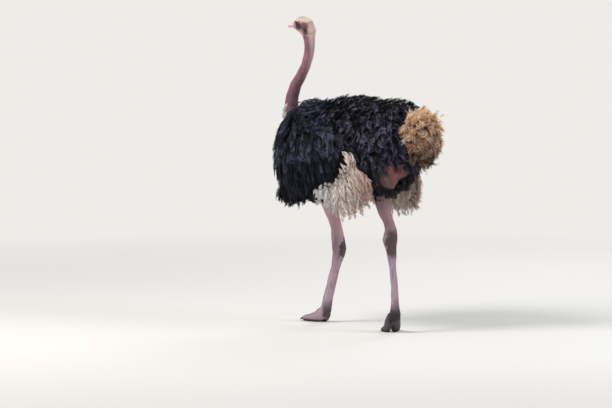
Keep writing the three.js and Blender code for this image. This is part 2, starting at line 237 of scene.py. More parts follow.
def object_of(name, shape, turned_out=False):
    """An edited shape as a new object, with its faces turned outwards if wanted."""
    if turned_out:
        bmesh.ops.recalc_face_normals(shape, faces=shape.faces)
    mesh = bpy.data.meshes.new(name)
    shape.to_mesh(mesh)
    shape.free()
    return new_object(name, mesh)


def vectors_of(items, field):
    flat = np.empty(len(items) * 3, np.float32)
    items.foreach_get(field, flat)
    return flat.reshape(-1, 3).astype(float)


def coordinates(mesh):
    return vectors_of(mesh.vertices, "co")


def point_normals(mesh):
    return vectors_of(mesh.vertex_normals, "vector")


def move_points(mesh, points):
    mesh.vertices.foreach_set("co", points.astype(np.float32).ravel())
    mesh.update()


def pushed(thing, rise):
    """Moves every point of a piece along its normal by its own rise."""
    move_points(thing.data, coordinates(thing.data) + point_normals(thing.data) * rise[:, None])


def stored(mesh, label, kind, field, values):
    """Keeps a value for every point of a mesh."""
    store = mesh.attributes.new(label, kind, "POINT")
    store.data.foreach_set(field, np.array(values, np.float32).ravel())


def merged_copy(name, *nodes):
    """CAD nodes as one new object, with their doubled points merged."""
    shape = bmesh.new()
    for node in nodes:
        shape.from_mesh(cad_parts[node].data)
    bmesh.ops.remove_doubles(shape, verts=shape.verts, dist=1e-5)
    return object_of(name, shape)


def finished(thing):
    """Works a piece's modifiers into its mesh and takes them off."""
    bpy.context.view_layer.update()
    graph = bpy.context.evaluated_depsgraph_get()
    mesh = bpy.data.meshes.new_from_object(thing.evaluated_get(graph))
    old = thing.data
    thing.modifiers.clear()
    thing.data = mesh
    bpy.data.meshes.remove(old)
    return thing


def remeshed(thing, voxel, smoothing=0):
    """One closed skin round all that the piece holds, with its edges eased."""
    wrap = thing.modifiers.new("wrap", "REMESH")
    wrap.mode = "VOXEL"
    wrap.voxel_size = voxel
    if smoothing:
        ease = thing.modifiers.new("ease", "SMOOTH")
        ease.factor = 0.5
        ease.iterations = smoothing
    return finished(thing)


def eased(thing, rounds, strength=None):
    """Smooths a mesh without shrinking it: each round pulls every point towards its neighbours'
    middle and then pushes it back out a little more. Strength may differ from point to point."""
    mesh = thing.data
    pairs = np.empty(len(mesh.edges) * 2, np.int32)
    mesh.edges.foreach_get("vertices", pairs)
    first, second = pairs.reshape(-1, 2).T
    points = coordinates(mesh)
    size = len(points)
    count = np.bincount(first, minlength=size) + np.bincount(second, minlength=size)
    count = np.maximum(count, 1)[:, None]
    strength = np.ones((size, 1)) if strength is None else strength(points)[:, None]
    for pull in (0.5, -0.52) * rounds:
        around = np.empty_like(points)
        for axis in range(3):
            around[:, axis] = (np.bincount(first, points[second, axis], size)
                               + np.bincount(second, points[first, axis], size))
        points += (around / count - points) * pull * strength
    move_points(mesh, points)
    return thing


def joined(name, *things):
    """Pieces as one new object, unmerged."""
    shape = bmesh.new()
    for thing in things:
        shape.from_mesh(thing.data)
        bpy.data.objects.remove(thing)
    return object_of(name, shape)


def united(thing, other):
    """Two closed pieces as one closed piece."""
    union = thing.modifiers.new("union", "BOOLEAN")
    union.operation = "UNION"
    union.solver = "MANIFOLD"
    union.object = other
    finished(thing)
    bpy.data.objects.remove(other)
    return thing


def ball(name, centre, radii, rings=12):
    shape = bmesh.new()
    bmesh.ops.create_uvsphere(shape, u_segments=2 * rings, v_segments=rings, radius=1.0)
    for point in shape.verts:
        point.co = Vector(centre) + Vector(c * r for c, r in zip(point.co, radii))
    return object_of(name, shape)


def unit(vectors):
    return vectors / np.maximum(np.linalg.norm(vectors, axis=-1, keepdims=True), 1e-9)


def ramp(value, low, high):
    """0 below low, 1 above high, and smooth between them."""
    t = np.clip((value - low) / (high - low), 0, 1)
    return t * t * (3 - 2 * t)


def fall(value, low, high):
    """1 below low, 0 above high, and smooth between them."""
    return 1 - ramp(value, low, high)


def bell(value, middle, width):
    """1 at a middle, falling to 0 on both sides of it."""
    return np.exp(-((value - middle) / width) ** 2)


def swirling(places, tightness):
    """A smoothly varying way at each place."""
    return np.array([noise.noise_vector(Vector(p) * tightness) for p in places.tolist()])


def corners(node):
    """The two corners of a CAD node's box."""
    return tuple(np.array(corner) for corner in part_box(node))


def middle_of(node):
    """The middle of a CAD node's box."""
    low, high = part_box(node)
    return np.array((low + high) / 2)


class Surface:
    """A mesh that feathers are laid on: its nearest points, outward normals and area."""

    def __init__(self, mesh):
        self.points = coordinates(mesh)
        mesh.calc_loop_triangles()
        faces = np.empty(len(mesh.loop_triangles) * 3, np.int32)
        mesh.loop_triangles.foreach_get("vertices", faces)
        self.faces = faces.reshape(-1, 3)
        self.normals = point_normals(mesh)
        self.tree = BVHTree.FromPolygons(self.points.tolist(), self.faces.tolist())

    def nearest(self, points):
        """The nearest point, its smooth normal and its distance, for each point."""
        places = np.empty_like(points)
        normals = np.empty_like(points)
        gaps = np.empty(len(points))
        for i, point in enumerate(points.tolist()):
            place, _, face, gap = self.tree.find_nearest(point)
            ends = self.faces[face]
            weights = 1 / (np.linalg.norm(self.points[ends] - place, axis=1) + 1e-4)
            places[i] = place
            normals[i] = weights @ self.normals[ends]
            gaps[i] = gap
        return places, unit(normals), gaps

    def scattered(self, spacing, wanted):
        """Points at least a spacing apart on the faces whose middles are wanted, with normals."""
        spacing = spacing / math.sqrt(LEAN)
        triangles = self.points[self.faces]
        sides = triangles[:, 1:] - triangles[:, :1]
        area = np.linalg.norm(np.cross(sides[:, 0], sides[:, 1]), axis=1) / 2
        area = area * wanted(triangles.mean(axis=1))
        tries = int(area.sum() / spacing ** 2 * 5) + 1
        picked = rng.choice(len(area), tries, p=area / area.sum())
        a, b = rng.random((2, tries, 1))
        flip = a + b > 1
        a, b = np.where(flip, 1 - a, a), np.where(flip, 1 - b, b)
        c = 1 - a - b
        tri = triangles[picked]
        places = a * tri[:, 0] + b * tri[:, 1] + c * tri[:, 2]
        spin = self.normals[self.faces[picked]]
        normals = unit(a * spin[:, 0] + b * spin[:, 1] + c * spin[:, 2])
        cells = {}
        kept = []
        for i, place in enumerate(places):
            home = tuple(np.floor(place / spacing).astype(int))
            near = [j for dx in (-1, 0, 1) for dy in (-1, 0, 1) for dz in (-1, 0, 1)
                    for j in cells.get((home[0] + dx, home[1] + dy, home[2] + dz), ())]
            if near and np.min(np.sum((places[near] - place) ** 2, axis=1)) < spacing ** 2:
                continue
            cells.setdefault(home, []).append(i)
            kept.append(i)
        return places[kept], normals[kept]


# ---- Coat words ----
def walked(surface, roots, normals, lie, lengths, free, stop=None):
    """Each feather's middle line: it walks along the lie of the coat on the surface, and hangs
    for no more than a free length where it leaves it. Gives lines, normals and kept lengths."""
    place, out = roots.copy(), normals.copy()
    line, outs = [place], [out]
    stride = lengths / WALK_STEPS
    hung = np.zeros(len(roots))
    kept = np.ones(len(roots))
    for step in range(WALK_STEPS):
        way = lie(place, out)
        way = unit(way - out * np.sum(way * out, axis=1, keepdims=True) * (hung[:, None] == 0))
        way = np.where(hung[:, None] > 0, unit(way + DOWN * 0.8), way)
        ahead = place + way * stride[:, None]
        snapped, faced, gap = surface.nearest(ahead)
        rounds_under = (faced[:, 2] < -0.45) & (out[:, 2] > -0.75) & (way[:, 2] < -0.3)
        leaves = (hung > 0) | (gap > stride * LEAVING) | rounds_under
        hung = np.where(leaves, hung + stride, 0)
        ended = (hung > free) & (kept == 1)
        if stop:
            ended |= stop(ahead) & (kept == 1)
        kept = np.where(ended, (step + 0.6) / WALK_STEPS, kept)
        place = np.where(leaves[:, None], ahead, snapped)
        out = np.where(leaves[:, None], unit(out * [1, 1, 0.6] + 1e-6), faced)
        line.append(place)
        outs.append(out)
    return np.stack(line, 1), np.stack(outs, 1), kept


def sampled(line, where):
    """Points of lines (feather, point, 3) at places 0 to 1 along them (feather, strand, step)."""
    count = line.shape[1] - 1
    spot = np.clip(where, 0, 1) * count
    low = np.minimum(spot.astype(int), count - 1)
    part = (spot - low)[..., None]
    rows = np.arange(len(line))[:, None, None]
    return line[rows, low] * (1 - part) + line[rows, low + 1] * part


def turned(vectors, axes, angles):
    """Vectors turned about unit axes."""
    angle = angles[..., None]
    along = axes * np.sum(axes * vectors, axis=-1, keepdims=True)
    return vectors * np.cos(angle) + np.cross(axes, vectors) * np.sin(angle) + along * (1 - np.cos(angle))


COAT_PLAN = dict(
    strands=13, steps=5, half_width=0.025, strand=0.0029, thick=0.0011, depth=COAT_DEPTH, level=0.006,
    start=(0.0, 0.5), reach=(0.42, 0.62), wave=0.45, waves=1.4, curl=0.8, lift=0.25, droop=0.0, fan=0.5,
    sweep=0.25, roll=0.15, stand=0.0, gather=0.0, shine=1.0, lock=0.45, bumps=0.010,
    heave=None, shallow=None)


def strands(lines, outs, kept, plan):
    """The strands of every feather: middle points, normals, places along and shades."""
    feathers, count, steps = len(lines), plan.strands, plan.steps
    size, each_strand, each_feather = (feathers, count), (feathers, count, 1), (feathers, 1, 1)
    along = np.linspace(0, 1, steps + 1)
    start = rng.uniform(*plan.start, size)
    reach = rng.uniform(*plan.reach, size)
    where = (start[..., None] + reach[..., None] * along) * kept[:, None, None]
    points = sampled(lines, where)
    normals = unit(sampled(outs, where))
    ways = unit(np.gradient(points, axis=2))
    across = unit(np.cross(ways, normals))
    lane = np.linspace(-1, 1, count) + rng.normal(0, 0.14, size)
    lock = rng.random((feathers, 1))
    spread = lane[..., None] * (0.12 + plan.fan * where + 0.35 * along)
    spread = spread * (1 - plan.gather * along ** 2)
    level = rng.normal(0, plan.level, each_feather) - abs(lane[..., None]) * 0.004
    clump = np.array([noise.noise(Vector(p) * 15) for p in lines[:, 0].tolist()])[:, None, None]
    rooted = np.clip(1 - where, 0, 1) ** 1.7
    depth = plan.depth
    if plan.shallow:
        depth = depth * (1 - plan.shallow(lines[:, 0]))[:, None, None]
    rise = -depth * rooted + level + plan.bumps * clump * where
    if plan.heave:
        rise = rise + plan.heave(lines[:, 0])[:, None, None]
    points = points + across * (spread * plan.half_width)[..., None] + normals * rise[..., None]
    pieces = np.diff(points, axis=2)
    middle = (along[1:] + along[:-1]) / 2
    phase = rng.uniform(0, 2 * math.pi, each_feather) + rng.normal(0, 0.5, each_strand)
    hand = np.sign(lane + rng.normal(0, 0.4, size))[..., None]
    bend = plan.wave * np.sin(2 * math.pi * plan.waves * middle + phase)
    bend = bend + hand * plan.curl * rng.uniform(0.3, 1.6, each_feather) * middle ** 2
    bend = bend + plan.sweep * np.clip(rng.normal(0, 1, each_feather), -1.8, 1.8) * middle * 2
    tip = plan.lift * np.clip(rng.normal(0.5, 1.0, each_strand), -1.5, 2.2) * middle ** 2
    roll = np.clip(rng.normal(0.3, 1.0, each_feather), -1.3, 1.8)
    tip = tip + plan.roll * roll * middle * 2 + plan.stand
    pieces = turned(pieces, normals[:, :, 1:], bend)
    pieces = turned(pieces, across[:, :, 1:], tip)
    spans = np.linalg.norm(pieces, axis=-1, keepdims=True)
    pieces = unit(pieces + DOWN * (plan.droop * middle ** 2)[:, None] * spans) * spans
    root = points[:, :, :1]
    points = np.concatenate([root, root + np.cumsum(pieces, axis=2)], axis=2)
    mix = plan.lock
    shade = np.clip((mix * lock + (1 - mix) * rng.random(size)) * plan.shine, 0, 1)
    flat = feathers * count
    return (points.reshape(flat, steps + 1, 3), normals.reshape(flat, steps + 1, 3),
            where.reshape(flat, steps + 1), shade.reshape(flat))


def tinted(mesh, colours):
    """Stores a colour for every point of a mesh."""
    stored(mesh, "tint", "FLOAT_COLOR", "color", np.hstack([colours, np.ones((len(colours), 1))]))


def strand_mesh(name, points, normals, widths, thicknesses, attributes, tint, roots_uv):
    """Closed tapered three-sided strands as one mesh. Attributes are (strand, step) arrays."""
    count, rings = points.shape[:2]
    ways = unit(np.gradient(points, axis=1))
    across = unit(np.cross(ways, normals))
    outward = unit(np.cross(across, ways))
    wide = across * widths[..., None]
    tall = outward * thicknesses[..., None]
    ring = np.stack([points - wide - 0.4 * tall, points + wide - 0.4 * tall, points + tall], axis=2)
    body = ring[:, :-1]
    tips = points[:, -1:]
    each = (rings - 1) * 3 + 1
    verts = np.concatenate([body.reshape(count, -1, 3), tips], axis=1)
    quads, tris = [], [(0, 1, 2)]
    for k in range(rings - 2):
        for j in range(3):
            a, b = 3 * k + j, 3 * k + (j + 1) % 3
            quads.append((a, a + 3, b + 3, b))
    last = 3 * (rings - 2)
    for j in range(3):
        tris.append((last + j, each - 1, last + (j + 1) % 3))
    first = (np.arange(count) * each)[:, None, None]
    quads = (np.array(quads)[None] + first).reshape(-1, 4)
    tris = (np.array(tris)[None] + first).reshape(-1, 3)
    mesh = bpy.data.meshes.new(name)
    mesh.vertices.add(count * each)
    mesh.vertices.foreach_set("co", verts.astype(np.float32).ravel())
    loops = np.concatenate([quads.ravel(), tris.ravel()])
    starts = np.concatenate([np.arange(len(quads)) * 4, quads.size + np.arange(len(tris)) * 3])
    mesh.loops.add(len(loops))
    mesh.loops.foreach_set("vertex_index", loops.astype(np.int32))
    mesh.polygons.add(len(starts))
    mesh.polygons.foreach_set("loop_start", starts.astype(np.int32))
    mesh.polygons.foreach_set("use_smooth", np.ones(len(starts), bool))
    mesh.update(calc_edges=True)
    for label, values in attributes.items():
        spread = np.concatenate([np.repeat(values[:, :-1], 3, axis=1), values[:, -1:]], axis=1)
        stored(mesh, label, "FLOAT", "value", spread)
    tinted(mesh, np.repeat(tint, each, axis=0))
    u = np.tile([0.0, 1.0, 0.5], rings - 1)
    v = np.repeat(np.linspace(0, 1, rings)[:-1], 3)
    local = np.stack([np.append(u, 0.5), np.append(v, 1.0)], axis=1) * UV_PATCH - UV_PATCH / 2
    uv = (roots_uv[:, None] + local[None]).reshape(-1, 2)
    layer = mesh.uv_layers.new(name="OFBake")
    layer.data.foreach_set("uv", uv[loops].astype(np.float32).ravel())
    return mesh


def unwrapped(points, low, high, axis=0, split=None):
    """Where points fall on an unwrap round the X (0) or Z (2) axis of a box. With split, a
    thin fan is opened flat, its outer face beside its inner one."""
    run = (points[:, axis] - low[axis]) / (high[axis] - low[axis])
    if split is None:
        first, second = {0: (1, 2), 2: (0, 1)}[axis]
        offset = points - (low + high) / 2
        across = np.arctan2(offset[:, first], offset[:, second]) / (2 * math.pi) + 0.5
    else:
        height = (points[:, 2] - low[2]) / (high[2] - low[2])
        across = 0.48 * height + 0.51 * split
    return np.clip(np.stack([across, run], axis=1), 0.004, 0.996)


def coat_piece(name, slot, paint, surface, roots, lie, lengths, plan, box, tints, free=0.06,
               axis=0, split=None, stop=None):
    """Grows feathers from roots on a surface and makes them one piece."""
    plan = SimpleNamespace(**{**COAT_PLAN, **plan})
    places, outs = roots
    hang = free * rng.uniform(0.5, 1.0, len(places))
    lines, outs, kept = walked(surface, places, outs, lie, lengths, hang, stop)
    points, normals, where, shade = strands(lines, outs, np.maximum(kept, SHORTEST), plan)
    u = np.linspace(0, 1, points.shape[1])[None]
    swell = ROOT_WIDTH + (1 - ROOT_WIDTH) * np.sin(math.pi * np.minimum(u * 1.5, 1) * 0.5)
    width = plan.strand * swell * (1 - u ** 2.2) ** 0.8 * (0.7 + 0.6 * rng.random((len(points), 1)))
    thick = plan.thick * (1 - 0.7 * u) * np.ones((len(points), 1))
    tint = tints(points[:, points.shape[1] // 2], shade)
    attributes = {
        "along": np.broadcast_to(u, where.shape),
        "reach": where,
        "shade": np.broadcast_to(shade[:, None], where.shape),
    }
    if split is not None:
        split = (points[:, 0, 1] * split > 0.0).astype(float)
    uv = unwrapped(points[:, 0], *box, axis=axis, split=split)
    mesh = strand_mesh(name, points, normals, np.maximum(width, 1e-4), thick, attributes, tint, uv)
    return dressed(name, new_object(name, mesh), slot, paint)


def dressed(name, thing, slot, paint, *replaced):
    """Names a piece, paints it, gives it its body, and hides the CAD nodes it stands for; its slot is not
    used.
    """
    thing.name = name
    thing.data.materials.clear()
    thing.data.materials.append(paint.material)
    thing.data.polygons.foreach_set("use_smooth", np.ones(len(thing.data.polygons), bool))
    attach(thing, "root")
    if replaced:
        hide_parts(*replaced)
    return thing


# ---- Skin ----
LEG_NODES = [f"{part}_{side}" for side in SIDES
             for part in ("thigh", "shank", "ankle", "tarsus", "foot", "big_toe", "outer_toe")]
NECK_NODES = ["neck_lower", "neck_middle", "neck_upper", "head"]
BODY_NODES = ["trunk", "wing_left", "wing_right"]
EYE_RADIUS = (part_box("eye_left")[1].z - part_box("eye_left")[0].z) / 2
HEAD_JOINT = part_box("head")[0].z       # where the head meets the neck
WRINKLE = 0.0012                       # height of the skin's fine wrinkles
THROAT_FILL = 0.0085                   # flesh that fills the crease between jaw and neck
CALLUS_EDGE = {"left": -0.020, "right": 0.010}   # how far behind an ankle's middle its callus starts
NECK_AXIS = np.array([-0.394, 0, 0])   # middle of the neck under the head
LID_WIDTH, LID_UPPER, LID_LOWER = 0.68, 0.55, 0.50   # the lids' opening, as parts of the eye's radius
LID_HOLE, LID_EDGE = 1.22, 1.62        # the skin's own opening, and where it meets the lids
LID_PROFILE = [                        # measures from the eye's middle, and rises over the eyeball
    (0.96, -0.0012), (0.955, 0.0004), (1.00, 0.0016), (1.09, 0.0023), (1.20, 0.0018), (1.27, 0.0009),
    (1.36, 0.0016), (1.50, 0.0012), (1.66, -0.0006), (1.55, -0.0040), (1.10, -0.0040)]


def plumage_envelope():
    """The plumage's outer face: trunk, wings and thighs under one eased surface."""
    shell = merged_copy("envelope", *BODY_NODES, "thigh_left", "thigh_right", "neck_lower")
    return eased(remeshed(shell, ENVELOPE_VOXEL), 8)


def wing_edge(z):
    """How far back the folded wing's rear edge is at a height."""
    return np.interp(z, [1.08, 1.20, 1.44], [0.135, 0.075, -0.070])


def heave_of_body(places):
    """Folds of the coat: the wings stand over the flanks, and the back dips before the rump."""
    x, y, z = places.T
    over = wing_edge(z) - x
    wing = ramp(over, 0.0, 0.02) * fall(over, 0.10, 0.30) * 0.007
    fold = bell(over, -0.03, 0.03) * -0.016
    dip = -0.016 * bell(x, 0.13, 0.035) * ramp(z, 1.36, 1.44)
    rump = -0.030 * ramp(x, 0.26, 0.46) * ramp(z, 1.28, 1.42)
    return (wing + fold) * (abs(y) > 0.12) + dip + rump


def shallow_of_body(places):
    """How much nearer to the surface feathers root where bare skin comes up beside them."""
    x, y, z = places.T
    collar = fall(neckline(x) - z, 0.05, 0.14) * fall(x, -0.34, -0.22) * (z > 1.25)
    shallow = np.maximum(collar, ramp(bare_patches(places), 0.0, 0.25))
    for name, side in SIDES.items():
        on_leg = fall(leg_gaps[name].nearest(places)[2], 0.015, 0.03) * (y * side > 0)
        shallow = np.maximum(shallow, on_leg * fall(z - feather_line(name), 0.03, 0.10))
    return 0.85 * shallow


def body_core(envelope):
    """The body inside its plumage, a coat's depth below the envelope."""
    core = new_object("core", envelope.data.copy())
    remeshed(core, CORE_VOXEL, smoothing=10)
    points = coordinates(core.data)
    depth = COAT_DEPTH * (1 - 0.8 * shallow_of_body(points)) - heave_of_body(points)
    pushed(core, -depth)
    low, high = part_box("tail")
    stump = ball("stump", (low.x + 0.045, 0, (low.z + high.z) / 2 + 0.02), (0.085, 0.075, 0.11))
    return remeshed(joined("core", core, stump), CORE_VOXEL, smoothing=6)


def refined(thing, chosen):
    """Halves the grain of a mesh where all of an edge's points are chosen."""
    shape = bmesh.new()
    shape.from_mesh(thing.data)
    edges = [e for e in shape.edges if all(chosen(v.co) for v in e.verts)]
    bmesh.ops.subdivide_edges(shape, edges=edges, cuts=1, use_grid_fill=True)
    shape.to_mesh(thing.data)
    shape.free()
    thing.data.update()


def eye_frame(side):
    """The way an eye looks, its forward side and its upper side."""
    axis = unit(np.array([-0.30, side * 0.95, 0.05]))
    front = unit(np.cross(UP, axis) * -side)
    return axis, front, unit(np.cross(front, axis) * side)


def lid_measure(points, centre, side):
    """How far each point is from an eye's centre, and where it looks: 1 on the lids' edge."""
    axis, front, top = eye_frame(side)
    offset = points - centre
    gap = np.linalg.norm(offset, axis=1)
    way = unit(offset)
    high = way @ top
    measure = np.hypot(way @ front / LID_WIDTH, high / np.where(high > 0, LID_UPPER, LID_LOWER))
    return gap, way, np.where(way @ axis > 0, measure, 9.0)


def lid_ring(name, side):
    """A closed ring of skin round an eye's opening, heavier above."""
    axis, front, top = eye_frame(side)
    centre = middle_of("eye_" + name)
    turns = np.linspace(0, 2 * math.pi, 72, endpoint=False)
    rings = []
    for measure, rise in LID_PROFILE:
        high = np.sin(turns) * np.where(np.sin(turns) > 0, LID_UPPER, LID_LOWER) * measure
        wide = np.cos(turns) * LID_WIDTH * measure
        deep = np.sqrt(np.clip(1 - wide ** 2 - high ** 2, 0.0, 1))
        weight = 1 + 0.35 * np.clip(np.sin(turns), -0.5, 1)
        radius = EYE_RADIUS + rise * (weight if rise > 0 else 1)
        way = deep[:, None] * axis + wide[:, None] * front + high[:, None] * top
        rings.append(centre + unit(way) * np.reshape(radius, (-1, 1)))
    return tube_of_rings("lid", np.array(rings), side < 0)


def tube_of_rings(name, rings, flipped=False):
    """A closed band through rings of points (ring, point, 3), joined first to last both ways."""
    count, around = rings.shape[:2]
    faces = []
    for i in range(count):
        for j in range(around):
            a, b = i * around, (i + 1) % count * around
            k = (j + 1) % around
            face = (a + j, b + j, b + k, a + k)
            faces.append(face[::-1] if flipped else face)
    mesh = bpy.data.meshes.new(name)
    mesh.from_pydata(rings.reshape(-1, 3).tolist(), [], faces)
    shape = bmesh.new()
    shape.from_mesh(mesh)
    bpy.data.meshes.remove(mesh)
    return object_of(name, shape, turned_out=True)


def sculpt_head(points, normals):
    """Sinks the skin behind the lids, and draws the gape, brow, cheek and ear openings."""
    shaped = points.copy()
    x, y, z = points.T
    for name, side in SIDES.items():
        centre, ear = middle_of("eye_" + name), middle_of("ear_" + name)
        gap, way, measure = lid_measure(points, centre, side)
        near = gap < EYE_RADIUS * 1.45
        hole = near & (measure < LID_HOLE)
        under = near & ~hole & (measure < LID_EDGE)
        held = np.minimum(gap, EYE_RADIUS + 0.0002)
        shaped = np.where(hole[:, None], centre + way * EYE_RADIUS * 0.84, shaped)
        shaped = np.where(under[:, None], centre + way * held[:, None], shaped)
        brow = near * bell(measure, 1.95, 0.22) * ramp(z, centre[2], centre[2] + 0.012)
        mine = y * side > 0.01
        across = np.hypot((x - ear[0]) / 0.0065, (z - ear[2]) / 0.0105)
        pit = mine * bell(across, 0, 1)
        rim = mine * bell(across, 1.75, 0.40)
        cheek = mine * blob(points, (-0.438, side * 0.040, 1.902), (0.030, 0.03, 0.016))
        shaped += normals * (brow * 0.0012 + rim * 0.0018 - pit * 0.0095 - cheek * 0.0022)[:, None]
    bill_low, bill_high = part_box("bill_upper")
    start, corner = bill_high.x - 0.006, bill_high.x + 0.044
    run = np.clip((x - start) / (corner - start), 0, 1)
    gape = bill_low.z + 0.001 - 0.016 * run ** 1.5
    fades = fall(x, corner - 0.008, corner)
    groove = bell(z, gape, 0.0014) * fades
    lips = bell(np.abs(z - gape), 0.0036, 0.0020) * fades
    return shaped + normals * (lips * 0.0009 - groove * 0.0030)[:, None]


def folds(points, size, slackness):
    """Height of loose folds and finer wrinkles, the wrinkles running round the limb, at each point."""
    rise = np.empty(len(points))
    for i, (x, y, z) in enumerate(points.tolist()):
        loose = noise.noise((x / size, y / size, z / size))
        fine = noise.noise((x / size * 5, y / size * 5, z / size * 9 + 3 * loose))
        rise[i] = slackness * loose + WRINKLE * fine
    return rise


def neck_and_head():
    """Neck and head in one skin, its joints eased away, folded below and carved above."""
    top = merged_copy("top", *NECK_NODES, "eye_left", "eye_right", "ear_left", "ear_right")
    eased(remeshed(top, NECK_VOXEL), 9)
    eased(top, 160, lambda points: bell(points[:, 2] - HEAD_JOINT, -0.004, 0.030))
    refined(top, lambda point: point.z > HEAD_JOINT + 0.012)
    points = coordinates(top.data)
    neck = fall(points[:, 2], HEAD_JOINT - 0.10, HEAD_JOINT - 0.03)
    rise = folds(points, size=0.055, slackness=0.0016) * neck
    throat = ramp(-points[:, 0], 0.365, 0.440)
    fill = THROAT_FILL * throat * bell(points[:, 2] - HEAD_JOINT, 0.006, 0.009)
    around = unit((points - NECK_AXIS) * [1, 1, 0])
    points += point_normals(top.data) * rise[:, None] + around * fill[:, None]
    move_points(top.data, points)
    eased(top, 70, lambda points: bell(points[:, 2] - HEAD_JOINT, 0.004, 0.016))
    points = coordinates(top.data)
    move_points(top.data, sculpt_head(points, point_normals(top.data)))
    return top


def bare_patches(points):
    """1 on the featherless skin at the back of each thigh, falling to 0 round it."""
    cover = np.zeros(len(points))
    for name, side in SIDES.items():
        low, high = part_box("thigh_" + name)
        centre = (high.x - 0.002, side * 0.200, low.z + 0.172)
        cover = np.maximum(cover, blob(points, centre, (0.125, 0.18, 0.090)))
    return np.clip(cover * (0.55 + 0.9 * grainy(points, 0.05)), 0, 1)


def feather_line(name):
    """Height of the fringe that ends the plumage on a thigh."""
    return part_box("thigh_" + name)[0].z + 0.050


def both_legs():
    """The legs, sunk under the thighs' plumage and bare below it."""
    legs = eased(remeshed(merged_copy("legs", *LEG_NODES), LEG_VOXEL), 26, lambda points: (
        0.35 + 0.65 * ramp(points[:, 2], 0.12, 0.30)))
    points = coordinates(legs.data)
    rise = folds(points, size=0.075, slackness=0.0030) * (0.3 + 0.7 * ramp(points[:, 2], 0.15, 0.30))
    for name, side in SIDES.items():
        line = feather_line(name)
        covered = ramp(points[:, 2], line - 0.02, line + 0.03) * (points[:, 1] * side > 0)
        rise -= covered * (0.004 + 0.026 * (1 - bare_patches(points)))
    pushed(legs, rise)
    return legs


def neckline(x):
    """Height where the neck's bare skin begins: higher at the nape than at the throat."""
    return np.interp(x, [-0.59, -0.45], [1.335, 1.445])


def above_ground(thing):
    """Lifts what a remesh left under the ground."""
    points = coordinates(thing.data)
    points[:, 2] = np.maximum(points[:, 2], 0.0)
    move_points(thing.data, points)


def made_skin(envelope):
    """One closed skin: head and neck, body core and both legs, joined where plumage hides it."""
    core = body_core(envelope)
    united(core, neck_and_head())
    united(core, both_legs())
    above_ground(core)
    return joined("skin", core, *[lid_ring(name, side) for name, side in SIDES.items()])


def blob(points, centre, radii):
    """1 at a centre, falling to 0 round an ellipsoid."""
    gap = np.sqrt(np.sum(((points - centre) / radii) ** 2, axis=1))
    return fall(gap, 0.55, 1.15)


def washed(base, *washes):
    """Lays washes of (mask, value) over a base colour or way, point by point."""
    for mask, colour in washes:
        base = base * (1 - mask[:, None]) + np.array(colour) * mask[:, None]
    return base


def grainy(points, size):
    """Noise of 0 to 1 at each point, with lumps of a size."""
    return np.clip(np.array([noise.noise(Vector(p) / size) for p in points.tolist()]) * 0.8 + 0.5, 0, 1)


def neck_rims(points):
    """How far behind the neck's front rim each point lies, and how far before its rear rim."""
    x, y, z = points.T
    bins = np.clip(((z - 1.30) / 0.015).astype(int), 0, 50)
    near = (abs(y) < 0.05) & (z > 1.30) & (x < -0.30)
    front, rear = np.full(51, 0.0), np.full(51, -1.0)
    np.minimum.at(front, bins[near], x[near])
    np.maximum.at(rear, bins[near], x[near])
    return x - front[bins], rear[bins] - x


def neck_and_head_tint(points):
    x, z = points[:, 0], points[:, 2]
    flat = points * [1, 0, 1]
    base = np.tile(MAUVE, (len(points), 1))
    rough = grainy(points, 0.012) - 0.5
    crown = ramp(z + 0.016 * rough, 1.940, 1.958) * ramp(x, -0.515, -0.480)
    nape = ramp(x, -0.380, -0.358) * ramp(z, 1.76, 1.90)
    face = blob(flat, (-0.420, 0, 1.922), (0.056, 1, 0.036))
    socket = blob(flat, (-0.447, 0, 1.920), (0.030, 1, 0.022))
    streak = blob(flat + rough[:, None] * [0.01, 0, 0], (-0.397, 0, 1.892), (0.020, 1, 0.050))
    head = ramp(z + 0.35 * x, 1.700, 1.730) * ramp(z, 1.84, 1.87)
    cheek = blob(flat, (-0.436, 0, 1.889), (0.026, 1, 0.022))
    throat = fall(z + 0.4 * x, 1.694, 1.712) * ramp(z, 1.82, 1.85) * ramp(-x, 0.405, 0.43)
    cere = ramp(-x, 0.488, 0.503) * ramp(z, 1.85, 1.88)
    low_neck = fall(z, 1.46, 1.68)
    behind_front, before_rear = neck_rims(points)
    neck = fall(z, 1.82, 1.88)
    # painted rim light: the neck's front edge, and the upper neck's rear edge, are painted paler mauve
    front_rim_light = fall(behind_front, 0.003, 0.020) * neck
    rear_rim_light = fall(before_rear, 0.003, 0.018) * neck * ramp(z, 1.55, 1.70)
    # painted shade: the lower neck is painted darker, most of all behind its front rim
    shade = ramp(behind_front, 0.015, 0.085) * low_neck
    streaks = ramp(grainy(points * [1, 1, 0.20], 0.016), 0.42, 0.75)
    # painted shade: the ear openings are painted dark over their carved pits
    pit = np.zeros(len(points))
    for name in SIDES:
        pit = np.maximum(pit, blob(points, middle_of("ear_" + name), (0.007, 0.02, 0.011)))
    return washed(
        base, (streaks * 0.6, MAUVE_DARK), (low_neck * 0.5, MAUVE_DARK), (shade * 0.75, NECK_SHADE_BROWN),
        (front_rim_light * 0.7, MAUVE_PALE), (rear_rim_light * 0.6, MAUVE_PALE), (head * 0.7, FACE_PALE),
        (throat * 0.6, DOWN_PALE), (cheek * 0.5, MAUVE_PALE), (face * 0.85, FACE_BROWN),
        (streak * 0.85, CHEEK_DARK), (socket * 0.85, SOCKET_DARK),
        (np.maximum(crown, nape * 0.8), DOWN_PALE), (cere * 0.7, BILL_PINK), (pit, PAD_DARK_AND_EAR_SHADE))


